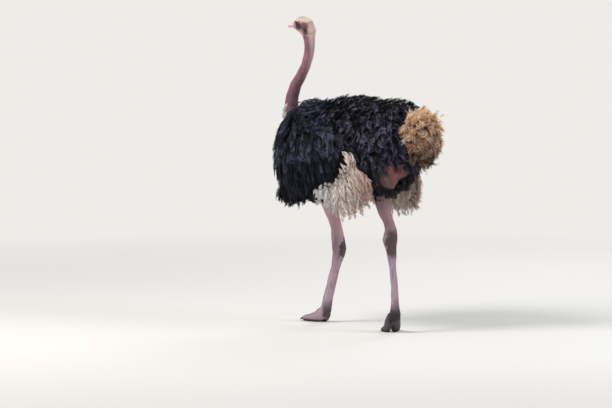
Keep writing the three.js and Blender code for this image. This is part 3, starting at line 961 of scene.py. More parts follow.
def leg_tint(points, side):
    y, z = points[:, 1], points[:, 2]
    ankle, foot = middle_of("ankle_" + side), middle_of("foot_" + side)
    ankle_low, ankle_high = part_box("ankle_" + side)
    shank_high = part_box("shank_" + side)[1]
    behind_ankle = (points - ankle) @ unit(np.array([0.95, 0.25, 0]))
    taper = 0.030 * ((z - ankle[2]) / 0.10) ** 2
    edge = CALLUS_EDGE[side]
    behind_foot = -((points - foot) @ toe_heading(side))
    lump = grainy(points, 0.022)
    shank = ramp(z, ankle_high.z - 0.02, ankle_high.z + 0.05)
    # the top of the shank, under the plumage, is washed brown: partly its own brown, partly painted shade
    # from the body above
    high = ramp(z, shank_high.z - 0.10, shank_high.z + 0.03)
    joint = bell(z, ankle[2], 0.045)
    callus = ramp(behind_ankle - taper + 0.026 * (lump - 0.5), edge, edge + 0.016)
    callus *= ramp(z, ankle_low.z - 0.05, ankle_low.z) * fall(z, ankle_high.z, ankle_high.z + 0.05)
    heel = ramp(behind_foot + 0.02 * (lump - 0.5), -0.020, 0.008)
    heel *= fall(z, foot[2] - 0.01, foot[2] + 0.09)
    raised = ramp(foot[2], 0.10, 0.12)   # the pushing foot is dark all over, up to about 0.15 m
    dark_foot = raised * fall(z + 0.03 * (lump - 0.5), 0.125, 0.175) * 0.85
    sole = fall(z, 0.008, 0.024)
    toe = fall(z, 0.07, 0.14)
    patch = bare_patches(points)
    inner = 4.0 * (0.24 - abs(y)) + 2.0 * (z - shank_high.z - 0.15)
    red = ramp(grainy(points, 0.05) + inner, 0.45, 0.9) * patch
    rub = ramp(grainy(points * [1, 1, 0.4], 0.03), 0.45, 0.8) * (1 - high)
    base = np.tile(TARSUS_LILAC, (len(points), 1))
    return washed(
        base, (rub * 0.5, SHANK_DARK), (shank, SHANK_TONE_AND_LIGHT[side]), (high * 0.6, THIGH_BROWN_AND_SHADE),
        (patch, THIGH_BROWN_AND_SHADE), (red * 0.85, THIGH_PINK), (toe * 0.8, TOE_LILAC),
        (joint * 0.35, MAUVE_DARK), (callus * 0.92, ANKLE_DARK), (heel * 0.92, PAD_DARK_AND_EAR_SHADE),
        (dark_foot, PAD_DARK_AND_EAR_SHADE), (sole, PAD_DARK_AND_EAR_SHADE))


def toe_heading(side):
    """The way a foot points, level."""
    way = (middle_of("big_claw_" + side) - middle_of("foot_" + side)) * [1, 1, 0]
    return way / np.linalg.norm(way)


def skin_tint(points):
    """The skin's markings by place: mauve neck with painted rim light and painted shade, pale crown, the
    body under its plumage near-black as painted shade, pink thighs, lilac feet.
    """
    x, y, z = points.T
    # painted shade: skin that the plumage hides is near-black, so the gaps between feathers read as shadow
    colours = np.tile(PLUMAGE_GAP_SHADE, (len(points), 1))
    behind = np.interp(z, [1.44, 1.50, 1.60], [-0.450, -0.430, -0.330])
    above_coat = ramp(z - neckline(x), -0.050, -0.030) * (x < behind) * (abs(y) < 0.075)
    colours = washed(colours, (above_coat, neck_and_head_tint(points)))
    for name, side in SIDES.items():
        mine = y * side > 0
        bare = fall(leg_gaps[name].nearest(points[mine])[2], 0.010, 0.022)
        patch = ramp(bare_patches(points[mine]), 0.15, 0.65)
        bare *= fall(z[mine], feather_line(name) - 0.01, feather_line(name) + 0.02)
        colours[mine] = washed(colours[mine], (np.maximum(bare, patch), leg_tint(points[mine], name)))
    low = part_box("tail")[0]
    stump = ramp(x, low.x + 0.005, low.x + 0.04) * ramp(z, low.z, low.z + 0.1)
    return washed(colours, (stump, TAIL_ROOT))


def skin_paint():
    """Mottled, finely folded skin, scaled on the lower leg, and dark fluff over the painted shade where
    plumage hides it.
    """
    paint = Paint("skin_bare", roughness=0.55)
    tint = paint.attribute("tint", "Color")
    mottle = paint.mottle(0.012, 0.35, 0.68, 5)
    fine = paint.mottle(0.0030, 0.30, 0.70, 3)
    colour = paint.mix(0.35 * mottle, tint, (0.80, 0.66, 0.70), "MULTIPLY")
    colour = paint.mix(0.40 * fine, colour, (0.70, 0.64, 0.66), "MULTIPLY")
    scales = paint.cells(0.0075, "DISTANCE_TO_EDGE")
    lower_leg = 1 - paint.between(paint.coordinate("Z"), 0.58, 0.74)
    seams = (1 - paint.between(scales, 0.0, 0.10)) * lower_leg
    colour = paint.mix(0.42 * seams, colour, (0.42, 0.36, 0.38), "MULTIPLY")
    shown = paint.between(tint, 0.01, 0.05)
    fluff = paint.noise(0.0065, detail=4)
    # where the tint is the near-black painted shade, dark fluff is laid over it
    hidden = 1 - paint.between(tint, 0.005, 0.011)
    colour = paint.mix(hidden * paint.between(fluff, 0.48, 0.70), colour, UNDER_FLUFF)
    paint.set("Base Color", colour)
    paint.set("Roughness", 1.0 - (0.38 + 0.14 * mottle) * shown)
    pores = paint.cells(0.0045)
    paint.bump((paint.between(scales, 0.0, 0.16) * lower_leg, 0.0009), (1 - pores, 0.0006),
               (paint.noise(0.0022, detail=4), 0.0005), (fluff * hidden, 0.012))
    return paint


def painted_skin(core):
    tinted(core.data, skin_tint(coordinates(core.data)))
    return dressed("skin", core, "neck_skin", skin_paint(), *NECK_NODES, *BODY_NODES, *LEG_NODES)


# ---- Eyes, bill, claws ----
def eyeball(name, side):
    """A dark brown eye with a raised clear cornea."""
    centre = middle_of("eye_" + name)
    axis = eye_frame(side)[0]
    eye = ball("eye_ball", centre, (EYE_RADIUS - 0.0003,) * 3, rings=40)
    points = coordinates(eye.data)
    way = unit(points - centre)
    cornea = ramp(way @ axis, 0.80, 0.97)
    move_points(eye.data, points + way * cornea[:, None] * 0.0016)
    paint = Paint("eye_wet_" + name, roughness=0.2, specular_ior_level=0.1, coat_weight=0.7,
                  coat_roughness=0.02)
    look = paint.vectors("NORMALIZE", paint.vectors("SUBTRACT", paint.place(), tuple(centre)))
    facing = paint.vectors("DOT_PRODUCT", look, tuple(axis), output="Value")
    rays = paint.mottle(0.0016, 0.3, 0.7, 4)
    iris = paint.mix(rays, linear(58, 34, 22), linear(104, 66, 40))
    colour = paint.mix(paint.between(facing, 0.84, 0.87), linear(30, 20, 18), iris)
    colour = paint.mix(paint.between(facing, 0.945, 0.955), colour, linear(4, 4, 5))
    paint.set("Base Color", colour)
    return dressed("eyeball_" + name, eye, "eye", paint, "eye_" + name)


def horn_paint(name, base, tip, streaks):
    """Smooth horn with long streaks."""
    paint = Paint(name)
    tone = paint.mottle(0.009, 0.35, 0.68, 4, stretch=(0.5, 1, 1))
    fine = paint.mottle(0.0022, 0.35, 0.65, 4, stretch=(0.35, 1, 1))
    colour = paint.mix(tone, base, tip)
    paint.set("Base Color", paint.mix(0.35 * fine, colour, streaks))
    paint.set("Roughness", 0.42 + 0.15 * fine)
    paint.bump((fine, 0.0004), (paint.noise(0.0012, detail=3), 0.0002))
    return paint


def bill_part(node, paint):
    """Half of the bill, rounded, with its nail at the tip and, above, the nostrils."""
    part = eased(remeshed(merged_copy(node, node), BILL_VOXEL), 14)
    x, y, z = coordinates(part.data).T
    low, high = corners(node)
    middle = (low[2] + high[2]) / 2
    nail = ramp(-x, -low[0] - 0.017, -low[0] - 0.014)
    rise = 0.0007 * nail - 0.0006 * bell(x - low[0], 0.0165, 0.0012)
    if node == "bill_upper":
        nostril = np.hypot((x - low[0] - 0.044) / 0.0080, (z - middle + 0.0015) / 0.0028)
        outer = np.abs(y) > 0.008
        rise = rise - 0.0040 * outer * bell(nostril, 0, 1) + 0.0010 * outer * bell(nostril, 1.7, 0.5)
        rise = rise + 0.0012 * (bell(y, 0, 0.006) * (z > middle))
    pushed(part, rise)
    return dressed(node.replace("bill", "beak"), part, "bill_horn", paint, node)


def bill_paint():
    """Pink horn, paler at the bill's tip."""
    paint = horn_paint("bill_horn", BILL_PINK, linear(236, 208, 210), linear(196, 140, 146))
    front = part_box("bill_upper")[0].x
    tip = 1 - paint.between(paint.coordinate("X"), front + 0.002, front + 0.018)
    horn = paint.surface.inputs["Base Color"].links[0].from_socket
    paint.set("Base Color", paint.mix(0.8 * tip, horn, linear(226, 214, 204)))
    return paint


def claw(node, paint):
    """A claw, rounded, and flat where it stands on the ground."""
    part = eased(remeshed(merged_copy(node, node), CLAW_VOXEL), 12)
    above_ground(part)
    return dressed(node.replace("claw", "nail"), part, "claw_horn", paint, node)


# ---- Rows of like pieces, by Geometry Nodes ----
def row_tree():
    """Puts a small piece on every point, turned by the point's own ways and sized by it."""
    tree = bpy.data.node_groups.new("row_of_pieces", "GeometryNodeTree")
    for name, kind in (("Geometry", "Geometry"), ("Piece", "Object"), ("Paint", "Material"),
                       ("Jitter", "Float"), ("Seed", "Int")):
        tree.interface.new_socket(name, in_out="INPUT", socket_type="NodeSocket" + kind)
    tree.interface.new_socket("Geometry", in_out="OUTPUT", socket_type="NodeSocketGeometry")

    def add(kind, settings=None, sockets=None):
        return node_in(tree, kind, settings, sockets)

    given = add("NodeGroupInput")
    out, run, size = (
        add("GeometryNodeInputNamedAttribute", {"data_type": "FLOAT_VECTOR"}, {"Name": name})[0]
        for name in ("out_way", "run_way", "size"))
    turn = add("FunctionNodeAxesToRotation", {"primary_axis": "Z", "secondary_axis": "X"},
               {"Primary Axis": out, "Secondary Axis": run})[0]
    least, most = (add("ShaderNodeMath", {"operation": operation}, {0: 1.0, 1: given["Jitter"]})[0]
                   for operation in ("SUBTRACT", "ADD"))
    chance = add("FunctionNodeRandomValue", {"data_type": "FLOAT"},
                 {2: least, 3: most, "Seed": given["Seed"]})
    scale = add("ShaderNodeVectorMath", {"operation": "SCALE"}, {0: size, "Scale": chance[1]})[0]
    piece = add("GeometryNodeObjectInfo", None, {"Object": given["Piece"]})["Geometry"]
    rows = add("GeometryNodeInstanceOnPoints", None, {
        "Points": given["Geometry"], "Instance": piece, "Rotation": turn, "Scale": scale})[0]
    real = add("GeometryNodeRealizeInstances", None, {"Geometry": rows})[0]
    painted = add("GeometryNodeSetMaterial", None, {"Geometry": real, "Material": given["Paint"]})[0]
    add("NodeGroupOutput", None, {"Geometry": painted})
    return tree


def row_of(name, slot, piece, paint, spots, jitter, tints=None):
    """One piece made of a small piece repeated at spots of (place, outward way, running way, size)."""
    places, outs, runs, sizes = zip(*spots)
    mesh = bpy.data.meshes.new(name)
    mesh.from_pydata(np.array(places).tolist(), [], [])
    for label, values in (("out_way", outs), ("run_way", runs), ("size", sizes)):
        stored(mesh, label, "FLOAT_VECTOR", "vector", values)
    thing = new_object(name, mesh)
    rows = thing.modifiers.new("rows", "NODES")
    rows.node_group = ROWS
    inputs = {item.name: item.identifier for item in ROWS.interface.items_tree if item.in_out == "INPUT"}
    for label, value in (("Piece", piece), ("Paint", paint.material), ("Jitter", jitter), ("Seed", SEED)):
        rows[inputs[label]] = value
    finished(thing)
    if tints:
        tinted(thing.data, tints(coordinates(thing.data)))
    return dressed(name, thing, slot, paint)


def plate():
    """A scute one unit long and wide: a low dome with a lifted far edge and a flat back."""
    count = 7
    last = count - 1
    steps = np.linspace(-0.5, 0.5, count)
    shape = bmesh.new()
    grid = {}
    for i, x in enumerate(steps):
        for j, y in enumerate(steps):
            long, wide = (2 * x) ** 4, (2 * y) ** 4
            dome = (1 - long) * (1 - wide)
            height = 0.5 * dome ** 0.6 * (1 - 0.35 * x)
            grid[i, j] = shape.verts.new((x * (1 - 0.16 * wide), y * (1 - 0.16 * long), height))
    for i in range(last):
        for j in range(last):
            shape.faces.new((grid[i, j], grid[i + 1, j], grid[i + 1, j + 1], grid[i, j + 1]))
    rim = ([grid[i, 0] for i in range(last)] + [grid[last, j] for j in range(last)]
           + [grid[i, last] for i in range(last, 0, -1)] + [grid[0, j] for j in range(last, 0, -1)])
    base = [shape.verts.new((v.co.x * 0.9, v.co.y * 0.9, -0.5)) for v in rim]
    for i in range(len(rim)):
        k = (i + 1) % len(rim)
        shape.faces.new((rim[k], rim[i], base[i], base[k]))
    shape.faces.new(base[::-1])
    return object_of("plate", shape, turned_out=True)


def lash():
    """An eyelash one unit long along its X, curving up, five-sided."""
    shape = bmesh.new()
    rings = []
    for t in np.linspace(0, 1, 6):
        radius = 0.5 * (1 - t) ** 0.7 + 0.02
        centre = Vector((math.sin(t * 1.3) / 1.2, 0, (1 - math.cos(t * 1.3)) * 0.55))
        spokes = [Vector((0, math.cos(a) * radius, math.sin(a) * radius)) * 0.12
                  for a in np.linspace(0, 2 * math.pi, 5, endpoint=False)]
        rings.append([shape.verts.new(centre + spoke) for spoke in spokes])
    for near, far in zip(rings, rings[1:]):
        for j in range(5):
            shape.faces.new((near[j], near[(j + 1) % 5], far[(j + 1) % 5], far[j]))
    shape.faces.new(rings[0][::-1])
    shape.faces.new(rings[-1])
    return object_of("lash", shape, turned_out=True)


LASH_LENGTH, LASH_THICKNESS, LASH_RISE = 0.0085, 0.0042, 0.0018   # the rise is over the eyeball
SCUTE_THICKNESS, SCUTE_SINK = 0.0028, 0.0009
SCUTE_GAP, TOE_SCUTE_GAP = 0.0125, 0.0115
SCUTE_LANES = [(0, 0.030), (48, 0.016), (-48, 0.016), (84, 0.010), (-84, 0.010)]   # degrees and widths


def lashes(name, side, piece, paint):
    """Two rows of lashes on an upper lid, the longest in the middle."""
    axis, front, top = eye_frame(side)
    centre = middle_of("eye_" + name)
    spots = []
    for row, (measure, lift) in enumerate(((1.00, 0.25), (1.05, 0.45))):
        for turn in np.linspace(math.radians(14 + 3 * row), math.radians(166 - 3 * row), 26):
            wide, high = math.cos(turn) * LID_WIDTH * measure, math.sin(turn) * LID_UPPER * measure
            way = axis * math.sqrt(1 - wide ** 2 - high ** 2) + front * wide + top * high
            run = unit(axis * 0.9 + front * math.cos(turn) * 0.5 + top * (lift + 0.25 * math.sin(turn)))
            length = LASH_LENGTH * (0.5 + 0.5 * math.sin(turn))
            spots.append((centre + way * (EYE_RADIUS + LASH_RISE), unit(top + axis * 0.1), run,
                          (length, LASH_THICKNESS, length)))
    return row_of("lashes_" + name, "ear_skin", piece, paint, spots, 0.18)


def scutes(name, piece, paint, skin_surface):
    """Plates down the front of a tarsus and over both toes."""
    forward = toe_heading(name)
    aside = np.cross(UP, forward)
    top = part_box("tarsus_" + name)[1].z + 0.03
    ankle, foot = middle_of("ankle_" + name), middle_of("foot_" + name)
    spots = []

    def put(start, way, run, length, width):
        """Lays a plate where a ray from a start meets skin that faces it."""
        hit, normal, _, _ = skin_surface.tree.ray_cast(Vector(start), Vector(way))
        if hit is None:
            return
        normal = unit(np.array(normal))
        if normal[2] < -0.15 or -(normal @ np.array(way)) < 0.35:
            return
        run = unit(run - normal * (run @ normal))
        spots.append((np.array(hit) - normal * SCUTE_SINK, normal, run, (length, width, SCUTE_THICKNESS)))

    height = foot[2] - 0.005
    while height < top:
        part = (height - foot[2]) / (ankle[2] - foot[2])
        axis = foot * (1 - part) + ankle * part
        step = SCUTE_GAP + 0.0030 * math.sin(part * 5)
        axis[2] = height
        for turn, wide in SCUTE_LANES:
            shift = UP * (0 if abs(turn) == 48 else 0.5 * step)
            turn = math.radians(turn)
            way = forward * math.cos(turn) + aside * math.sin(turn)
            put(axis + way * 0.10 + shift, -way, DOWN, step * 1.12, wide)
        height += step
    for toe, wide in (("big_claw_", 0.036), ("outer_claw_", 0.024)):
        end = middle_of(toe + name)
        run = unit((end - foot) * [1, 1, 0])
        across = np.cross(UP, run)
        count = int(np.linalg.norm((end - foot)[:2]) / TOE_SCUTE_GAP)
        for t in np.arange(count) / count:
            spot = foot * (1 - t) + end * t
            narrow = 1 - 0.35 * t
            for lane, part, length in ((0, 1.0, 0.0130), (0.62, 0.42, 0.0104), (-0.62, 0.42, 0.0104)):
                start = spot + across * wide * lane * narrow + UP * 0.2
                put(start, DOWN, run, length, wide * part * narrow)
    return row_of("scutes_" + name, "leg_scutes", piece, paint, spots, 0.07,
                  lambda points: leg_tint(points, name))


def scute_paint():
    """Scutes in the leg's own tints, a little glossier than its skin."""
    paint = Paint("scute_horn", roughness=0.42)
    tint = paint.attribute("tint", "Color")
    fine = paint.mottle(0.0022, 0.3, 0.7, 4)
    broad = paint.mottle(0.03, 0.35, 0.65, 3)
    colour = paint.mix(0.35 * fine, tint, (0.55, 0.48, 0.50), "MULTIPLY")
    paint.set("Base Color", paint.mix(0.25 * broad, colour, linear(214, 196, 208)))
    paint.set("Roughness", 0.38 + 0.2 * fine)
    paint.bump((fine, 0.0003), (paint.noise(0.0011), 0.00015))
    return paint


# ---- Plumage paints ----
def feather_paint(name, gleam, roughness, gleaming=0.9, streaking=0.65, low_shading=0.0, rooty=0.40):
    """Strands of their own tint, darker at the root, with a painted highlight in the gleam colour on the
    brighter ones' outer half. Streaks break the highlight up, and low on the coat it can be weaker, as
    painted shade."""
    paint = Paint(name, roughness=roughness, specular_ior_level=0.22)
    shade = paint.attribute("shade")
    along = paint.attribute("along")
    reach = paint.attribute("reach")
    patch = paint.mottle(0.085, 0.40, 0.66, 2)
    tint = paint.attribute("tint", "Color")
    # painted highlight: the gleam colour is mixed into the base colour of the brighter strands, weaker low
    # on the coat as painted shade
    bright = paint.between(0.80 * shade + 0.30 * patch, 0.42, 0.95)
    crest = paint.between(along, 0.15, 0.55) * (1 - 0.5 * paint.between(along, 0.8, 1.0))
    high = paint.between(paint.coordinate("Z"), 0.92, 1.20)
    colour = paint.mix((1 - low_shading + low_shading * high) * gleaming * bright * crest * reach, tint, gleam)
    root = paint.between(reach, 0.0, 0.30)
    colour = paint.mix(1 - root, colour, (rooty,) * 3, "MULTIPLY")
    streak = paint.mottle(0.017, 0.35, 0.65, 3)
    colour = paint.mix(streaking * streak, colour, (0.38, 0.38, 0.40), "MULTIPLY")
    paint.set("Base Color", colour)
    paint.set("Roughness", roughness + 0.12 - 0.2 * shade)
    return paint


def ranged(dark, bright, shade):
    """A colour for each strand between two display colours, by its shade."""
    dark, bright = np.array(linear(*dark)), np.array(linear(*bright))
    return dark + (bright - dark) * shade[:, None]


def black_tints(points, shade):
    """Black, darker below as painted shade, with a painted blue sheen over the folded wings."""
    x, z = points[:, 0], points[:, 2]
    blue_sheen = ramp(wing_edge(z) - x, -0.02, 0.10)[:, None]
    base = ranged((4, 3, 5), (44, 38, 45), shade ** 2)
    # painted shade: the black is darker towards the ground
    base = base * (0.55 + 0.45 * ramp(z, 0.85, 1.12))[:, None]
    return base * (1 + blue_sheen * np.array([-0.40, 0.30, 1.40]))


def plume_tints(name):
    """White at the fan's lower front, beige-brown behind, with a few dark and a few pale shafts."""
    low = corners("wing_plumes_" + name)[0]

    def tints(points, shade):
        x, z = points[:, 0], points[:, 2]
        front, low_down = fall(x, low[0] + 0.10, low[0] + 0.24), fall(z, low[2] + 0.16, low[2] + 0.26)
        white = front * (0.35 + 0.65 * low_down)
        rear = ramp(x, low[0] + 0.24, low[0] + 0.42)[:, None]
        beige = ranged((236, 196, 178), (255, 249, 242), shade ** 0.7) * (1 - rear * [0.30, 0.43, 0.49])
        pale = ranged((190, 176, 180), (255, 254, 253), shade ** 0.7)
        tint = washed(beige, (white, pale))
        odd = rng.random((len(points), 1))
        tint = np.where(odd < 0.10 * (1 - white[:, None]), linear(58, 44, 40), tint)
        return np.where(odd > 0.93, linear(248, 244, 240), tint)
    return tints


def tail_tints(points, shade):
    """Golden above with pale tips, brown in the middle, dark below, and one white tuft: partly the tail's
    own colours, partly painted light on top and painted shade underneath.
    """
    low, high = corners("tail")
    part = (points[:, 2] - low[2]) / (high[2] - low[2]) + 0.10 * rng.normal(0, 1, len(points))
    golden = ranged((250, 180, 126), (255, 236, 202), shade)
    brown = ranged((106, 72, 58), (220, 172, 144), shade)
    dark = ranged((44, 34, 32), (124, 102, 92), shade)
    tuft = blob(points, (0.435, -0.13, 1.222), (0.035, 0.05, 0.035))
    tint = washed(brown, (ramp(part, 0.50, 0.76), golden), (fall(part, 0.12, 0.42), dark),
                  (tuft, linear(246, 240, 232)))
    pale = (rng.random((len(points), 1)) > 0.90) & (part[:, None] > 0.35)
    return np.where(pale, linear(242, 220, 190), tint)


def down_tints(points, shade):
    """Pale down with a few dark hairs, dark round the eye, and white on the collar."""
    z = points[:, 2]
    pale = ranged((176, 146, 126), (240, 222, 204), shade)
    face = blob(points * [1, 0, 1], (-0.420, 0, 1.926), (0.052, 1, 0.030))
    dark = ((rng.random(len(points)) > 0.90) & (z > 1.5)) | (face > 0.3)
    tint = np.where(dark[:, None], linear(92, 66, 58), pale)
    return washed(tint, (fall(z, 1.40, 1.44), linear(246, 244, 242)))


# ---- Body plumage ----
def lie_of_body(place, out):
    """Along the back, down the flanks and chest, and back under the belly."""
    side = np.sign(place[:, 1])[:, None] * np.array([0, 1.0, 0])
    way = washed(
        BACKWARD * 0.30 + DOWN,
        (ramp(out[:, 2], 0.35, 0.92), BACKWARD + side * 0.30),
        (ramp(-out[:, 2], 0.35, 0.85), BACKWARD * 0.9 + DOWN * 0.35),
        (ramp(-out[:, 0], 0.35, 0.85), DOWN + BACKWARD * 0.25))
    return way + swirling(place, 7.0) * 0.42


# shine scales a region's strand shades, and so its tint and painted highlight: raised on the flanks and
# rump, lowered on the chest and belly as painted shade
FLANK_PLAN = dict(length=0.100, wave=0.6, curl=0.6, lift=0.14, sweep=0.40, roll=0.12, gather=0.1,
                  shine=1.25)
WING_PLAN = dict(length=0.150, depth=0.024, wave=0.5, curl=0.6, lift=0.06, half_width=0.027, roll=0.05,
                 gather=0.4, lock=0.55, level=0.004)
BODY_PLANS = {
    "back_plumage": dict(length=0.085, wave=0.6, curl=0.9, lift=0.06, level=0.004, sweep=0.50, roll=0.04,
                         bumps=0.018, strand=0.0032),
    "chest_plumage": dict(length=0.115, curl=0.5, lift=0.10, sweep=0.30, roll=0.06, gather=0.3, shine=0.9),
    "flank_plumage_left": FLANK_PLAN,
    "flank_plumage_right": FLANK_PLAN,
    "belly_plumage": dict(length=0.125, strands=9, strand=0.0036, curl=0.4, lift=0.10, gather=0.4,
                          shine=0.6),
    "rump_plumage": dict(FLANK_PLAN, lift=0.12, sweep=0.45, roll=0.10, shine=1.2),
    "wing_plumage_left": WING_PLAN,
    "wing_plumage_right": WING_PLAN,
}

# Where the left wing's coverts end, as (x, z). The right wing's edge lies a shift further forward.
COVERT_EDGE = [(-0.26, 0.78), (-0.20, 0.82), (-0.14, 0.87), (-0.07, 0.94), (0.05, 0.985), (0.08, 1.07),
               (0.10, 1.17)]
RIGHT_EDGE_SHIFT = 0.06


def region_of(points):
    """Which plumage piece a root belongs to."""
    x, y, z = points.T
    names = np.full(len(points), "back_plumage", dtype=object)
    for name, side in SIDES.items():
        mine = (y * side >= 0) & (z < 1.36)
        names[mine] = "flank_plumage_" + name
        names[mine & (x < wing_edge(z)) & (z < 1.32)] = "wing_plumage_" + name
    names[(z < 0.93) | ((z < 1.1) & (abs(y) < 0.24))] = "belly_plumage"
    names[(x > 0.20) & (z < 1.42)] = "rump_plumage"
    names[x < -0.44] = "chest_plumage"
    return names


def past_covert_edge(points):
    """True below the line that the wings' coverts end at, over the pale plumes."""
    x, y, z = points.T
    x = x + RIGHT_EDGE_SHIFT * (y > 0)
    return (x > -0.26) & (x < 0.17) & (abs(y) > 0.24) & (z < np.interp(x, *zip(*COVERT_EDGE)))


def body_plumage(envelope):
    """Black plumage over the body, and pale coverts where the wings' plumes spring from it."""
    surface = Surface(envelope.data)
    box = corners("trunk")

    def wanted(points):
        x, y, z = points.T
        on_neck = (z > neckline(x)) & (x < -0.42) & (abs(y) < 0.07)
        under_tail = (x > box[1][0] - 0.02) & (abs(y) < 0.10) & (z > 1.16) & (z < 1.40)
        return (~on_neck & ~under_tail & (bare_patches(points) < 0.35)).astype(float)

    roots, outs = surface.scattered(FEATHER_SPACING, wanted)
    keep = np.ones(len(roots), bool)
    for name, side in SIDES.items():
        on_leg = (leg_gaps[name].nearest(roots)[2] < 0.016) & (roots[:, 1] * side > 0)
        keep &= ~(on_leg & (roots[:, 2] < feather_line(name)))
    roots, outs = roots[keep], outs[keep]
    regions = region_of(roots)
    bared = past_covert_edge(roots)
    # a blue-grey painted highlight, made weaker on the low coat as painted shade
    black = feather_paint("plumage_black", linear(150, 152, 186), roughness=0.44, low_shading=0.78)
    for piece, plan in BODY_PLANS.items():
        mine = (regions == piece) & ~bared
        x, y, z = roots[mine].T
        over = ramp(wing_edge(z) - x, 0.0, 0.05) * (z > 1.28) * (z < 1.42)
        length = plan["length"] * rng.uniform(0.75, 1.2, mine.sum()) * (1 + 0.5 * over)
        plan = dict(plan, heave=heave_of_body, shallow=shallow_of_body)
        coat_piece(piece, "black_plumage", black, surface, (roots[mine], outs[mine]), lie_of_body,
                   length, plan, box, black_tints, stop=past_covert_edge)
    covert_plan = dict(PLUME_PLAN, strands=16, half_width=0.026, strand=0.0022)
    for name, side in SIDES.items():
        mine = bared & (roots[:, 1] * side > 0) & (roots[:, 0] + RIGHT_EDGE_SHIFT * (side > 0) > -0.10)
        length = rng.uniform(0.10, 0.16, mine.sum())
        coat_piece("plume_coverts_" + name, "pale_plumage", pale_paint, surface,
                   (roots[mine], outs[mine]), lie_of_plumes(name), length, covert_plan, box,
                   plume_tints(name), free=0.02)


# ---- Wing plumes ----
def lie_of_plumes(name):
    """Out from the fan's root, and falling more towards its rear."""
    low, high = corners("wing_plumes_" + name)
    root = np.array([low[0] + 0.02, 0, high[2] + 0.16])

    def lie(place, out):
        way = unit((place - root) * [1, 0, 1])
        drop = ramp(place[:, 0], low[0] + 0.2, high[0])[:, None]
        return way + swirling(place, 9.0) * 0.22 + DOWN * (0.15 + 0.6 * drop)
    return lie


PLUME_PLAN = dict(
    strands=14, half_width=0.018, strand=0.0018, thick=0.0009, depth=0.010, level=0.005, wave=0.25,
    waves=1.3, curl=0.5, lift=0.16, droop=0.3, fan=0.7, start=(0.0, 0.45), reach=(0.35, 0.62), sweep=0.45,
    roll=0.18, lock=0.35)


def laid_surface(node, voxel, rounds):
    """A CAD node's own skin, eased, for feathers to be laid on."""
    thing = eased(remeshed(merged_copy("laid", node), voxel), rounds)
    surface = Surface(thing.data)
    bpy.data.objects.remove(thing)
    return surface


def wing_plumes(name, paint):
    """The hanging fan of one wing; its front edge is bare where the coverts lie over it."""
    node = "wing_plumes_" + name
    surface = laid_surface(node, FAN_VOXEL, 6)
    box = corners(node)
    low = box[0]

    def wanted(points):
        edge = np.interp(points[:, 0] - low[0], [0.0, 0.06, 0.11, 0.13], [0.187, 0.142, 0.112, -0.028])
        return (points[:, 2] > edge + low[2]).astype(float)

    roots = surface.scattered(PLUME_SPACING, wanted)
    length = rng.uniform(0.10, 0.18, len(roots[0]))
    length *= 0.55 + 0.45 * ramp(roots[0][:, 0], low[0] + 0.06, low[0] + 0.20)
    piece = coat_piece(node.replace("wing_", "") + "_coat", "pale_plumage", paint, surface, roots,
                       lie_of_plumes(name), length, PLUME_PLAN, box, plume_tints(name), free=0.02,
                       split=SIDES[name])
    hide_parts(node)


# ---- Tail ----
TAIL_PLAN = dict(
    strands=17, half_width=0.022, strand=0.0021, thick=0.0010, depth=0.034, level=0.008, wave=0.35,
    waves=1.1, curl=0.8, lift=0.22, droop=0.35, fan=0.9, sweep=1.1, roll=0.36, lock=0.3, start=(0.0, 0.3),
    reach=(0.42, 0.72))


def tail_plumage():
    """Loose swirling feathers out from the tail's root, shorter at its upper rear corner."""
    paint = feather_paint("plumage_tail", linear(255, 220, 172), 0.6, 0.75, streaking=0.12, rooty=0.70)
    surface = laid_surface("tail", TAIL_VOXEL, 5)
    low, high = corners("tail")
    hub = np.array([low[0] - 0.10, 0.0, high[2] - 0.01])
    corner = np.array([high[0], 0, high[2]])

    def lie(place, out):
        low_down = fall(place[:, 2], high[2] - 0.24, high[2] - 0.10)[:, None]
        falling = (DOWN + BACKWARD * 0.3) * (0.3 + 0.5 * low_down)
        return unit(place - hub) * 0.8 + swirling(place, 10.0) * (1.2 - 0.6 * low_down) + falling

    def at_corner(places):
        return fall(np.linalg.norm((places - corner) * [1, 0, 1], axis=1), 0.04, 0.13)

    def heave(places):
        top = ramp(places[:, 2], high[2] - 0.06, high[2] - 0.01)
        return 0.012 * top - 0.030 * at_corner(places)

    roots, outs = surface.scattered(TAIL_SPACING, lambda points: np.ones(len(points)))
    seen = (outs[:, 2] > -0.3) | (roots[:, 2] < high[2] - 0.07)
    roots = roots[seen], outs[seen]
    length = rng.uniform(0.07, 0.14, len(roots[0])) * (1 - 0.40 * at_corner(roots[0]))
    piece = coat_piece("tail_coat", "tail_plumage", paint, surface, roots, lie, length,
                       dict(TAIL_PLAN, heave=heave), (low, high), tail_tints, free=0.03, axis=2)
    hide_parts("tail")


# ---- Down on the head and neck ----
def lie_of_down(place, out):
    """Back over the head and down the neck."""
    head = ramp(place[:, 2], 1.87, 1.93)[:, None]
    return BACKWARD * head + DOWN * (1 - 0.6 * head)


HAIR_PLAN = dict(strands=3, steps=3, thick=0.0003, depth=0.0, level=0.0003, start=(0.0, 0.1),
                 reach=(0.8, 0.9))
DOWN_PLAN = dict(HAIR_PLAN, half_width=0.0024, strand=0.00038, wave=0.3, waves=0.8, curl=0.5, lift=0.25,
                 stand=0.16)
TUFT_PLAN = dict(HAIR_PLAN, half_width=0.0018, strand=0.00034, wave=0.2, waves=0.7, curl=0.4, lift=0.2,
                 stand=0.55)
COLLAR_PLAN = dict(strands=7, steps=4, half_width=0.010, strand=0.0022, thick=0.001, depth=0.0,
                   level=0.002, wave=0.3, curl=0.6, lift=0.3, stand=0.60)


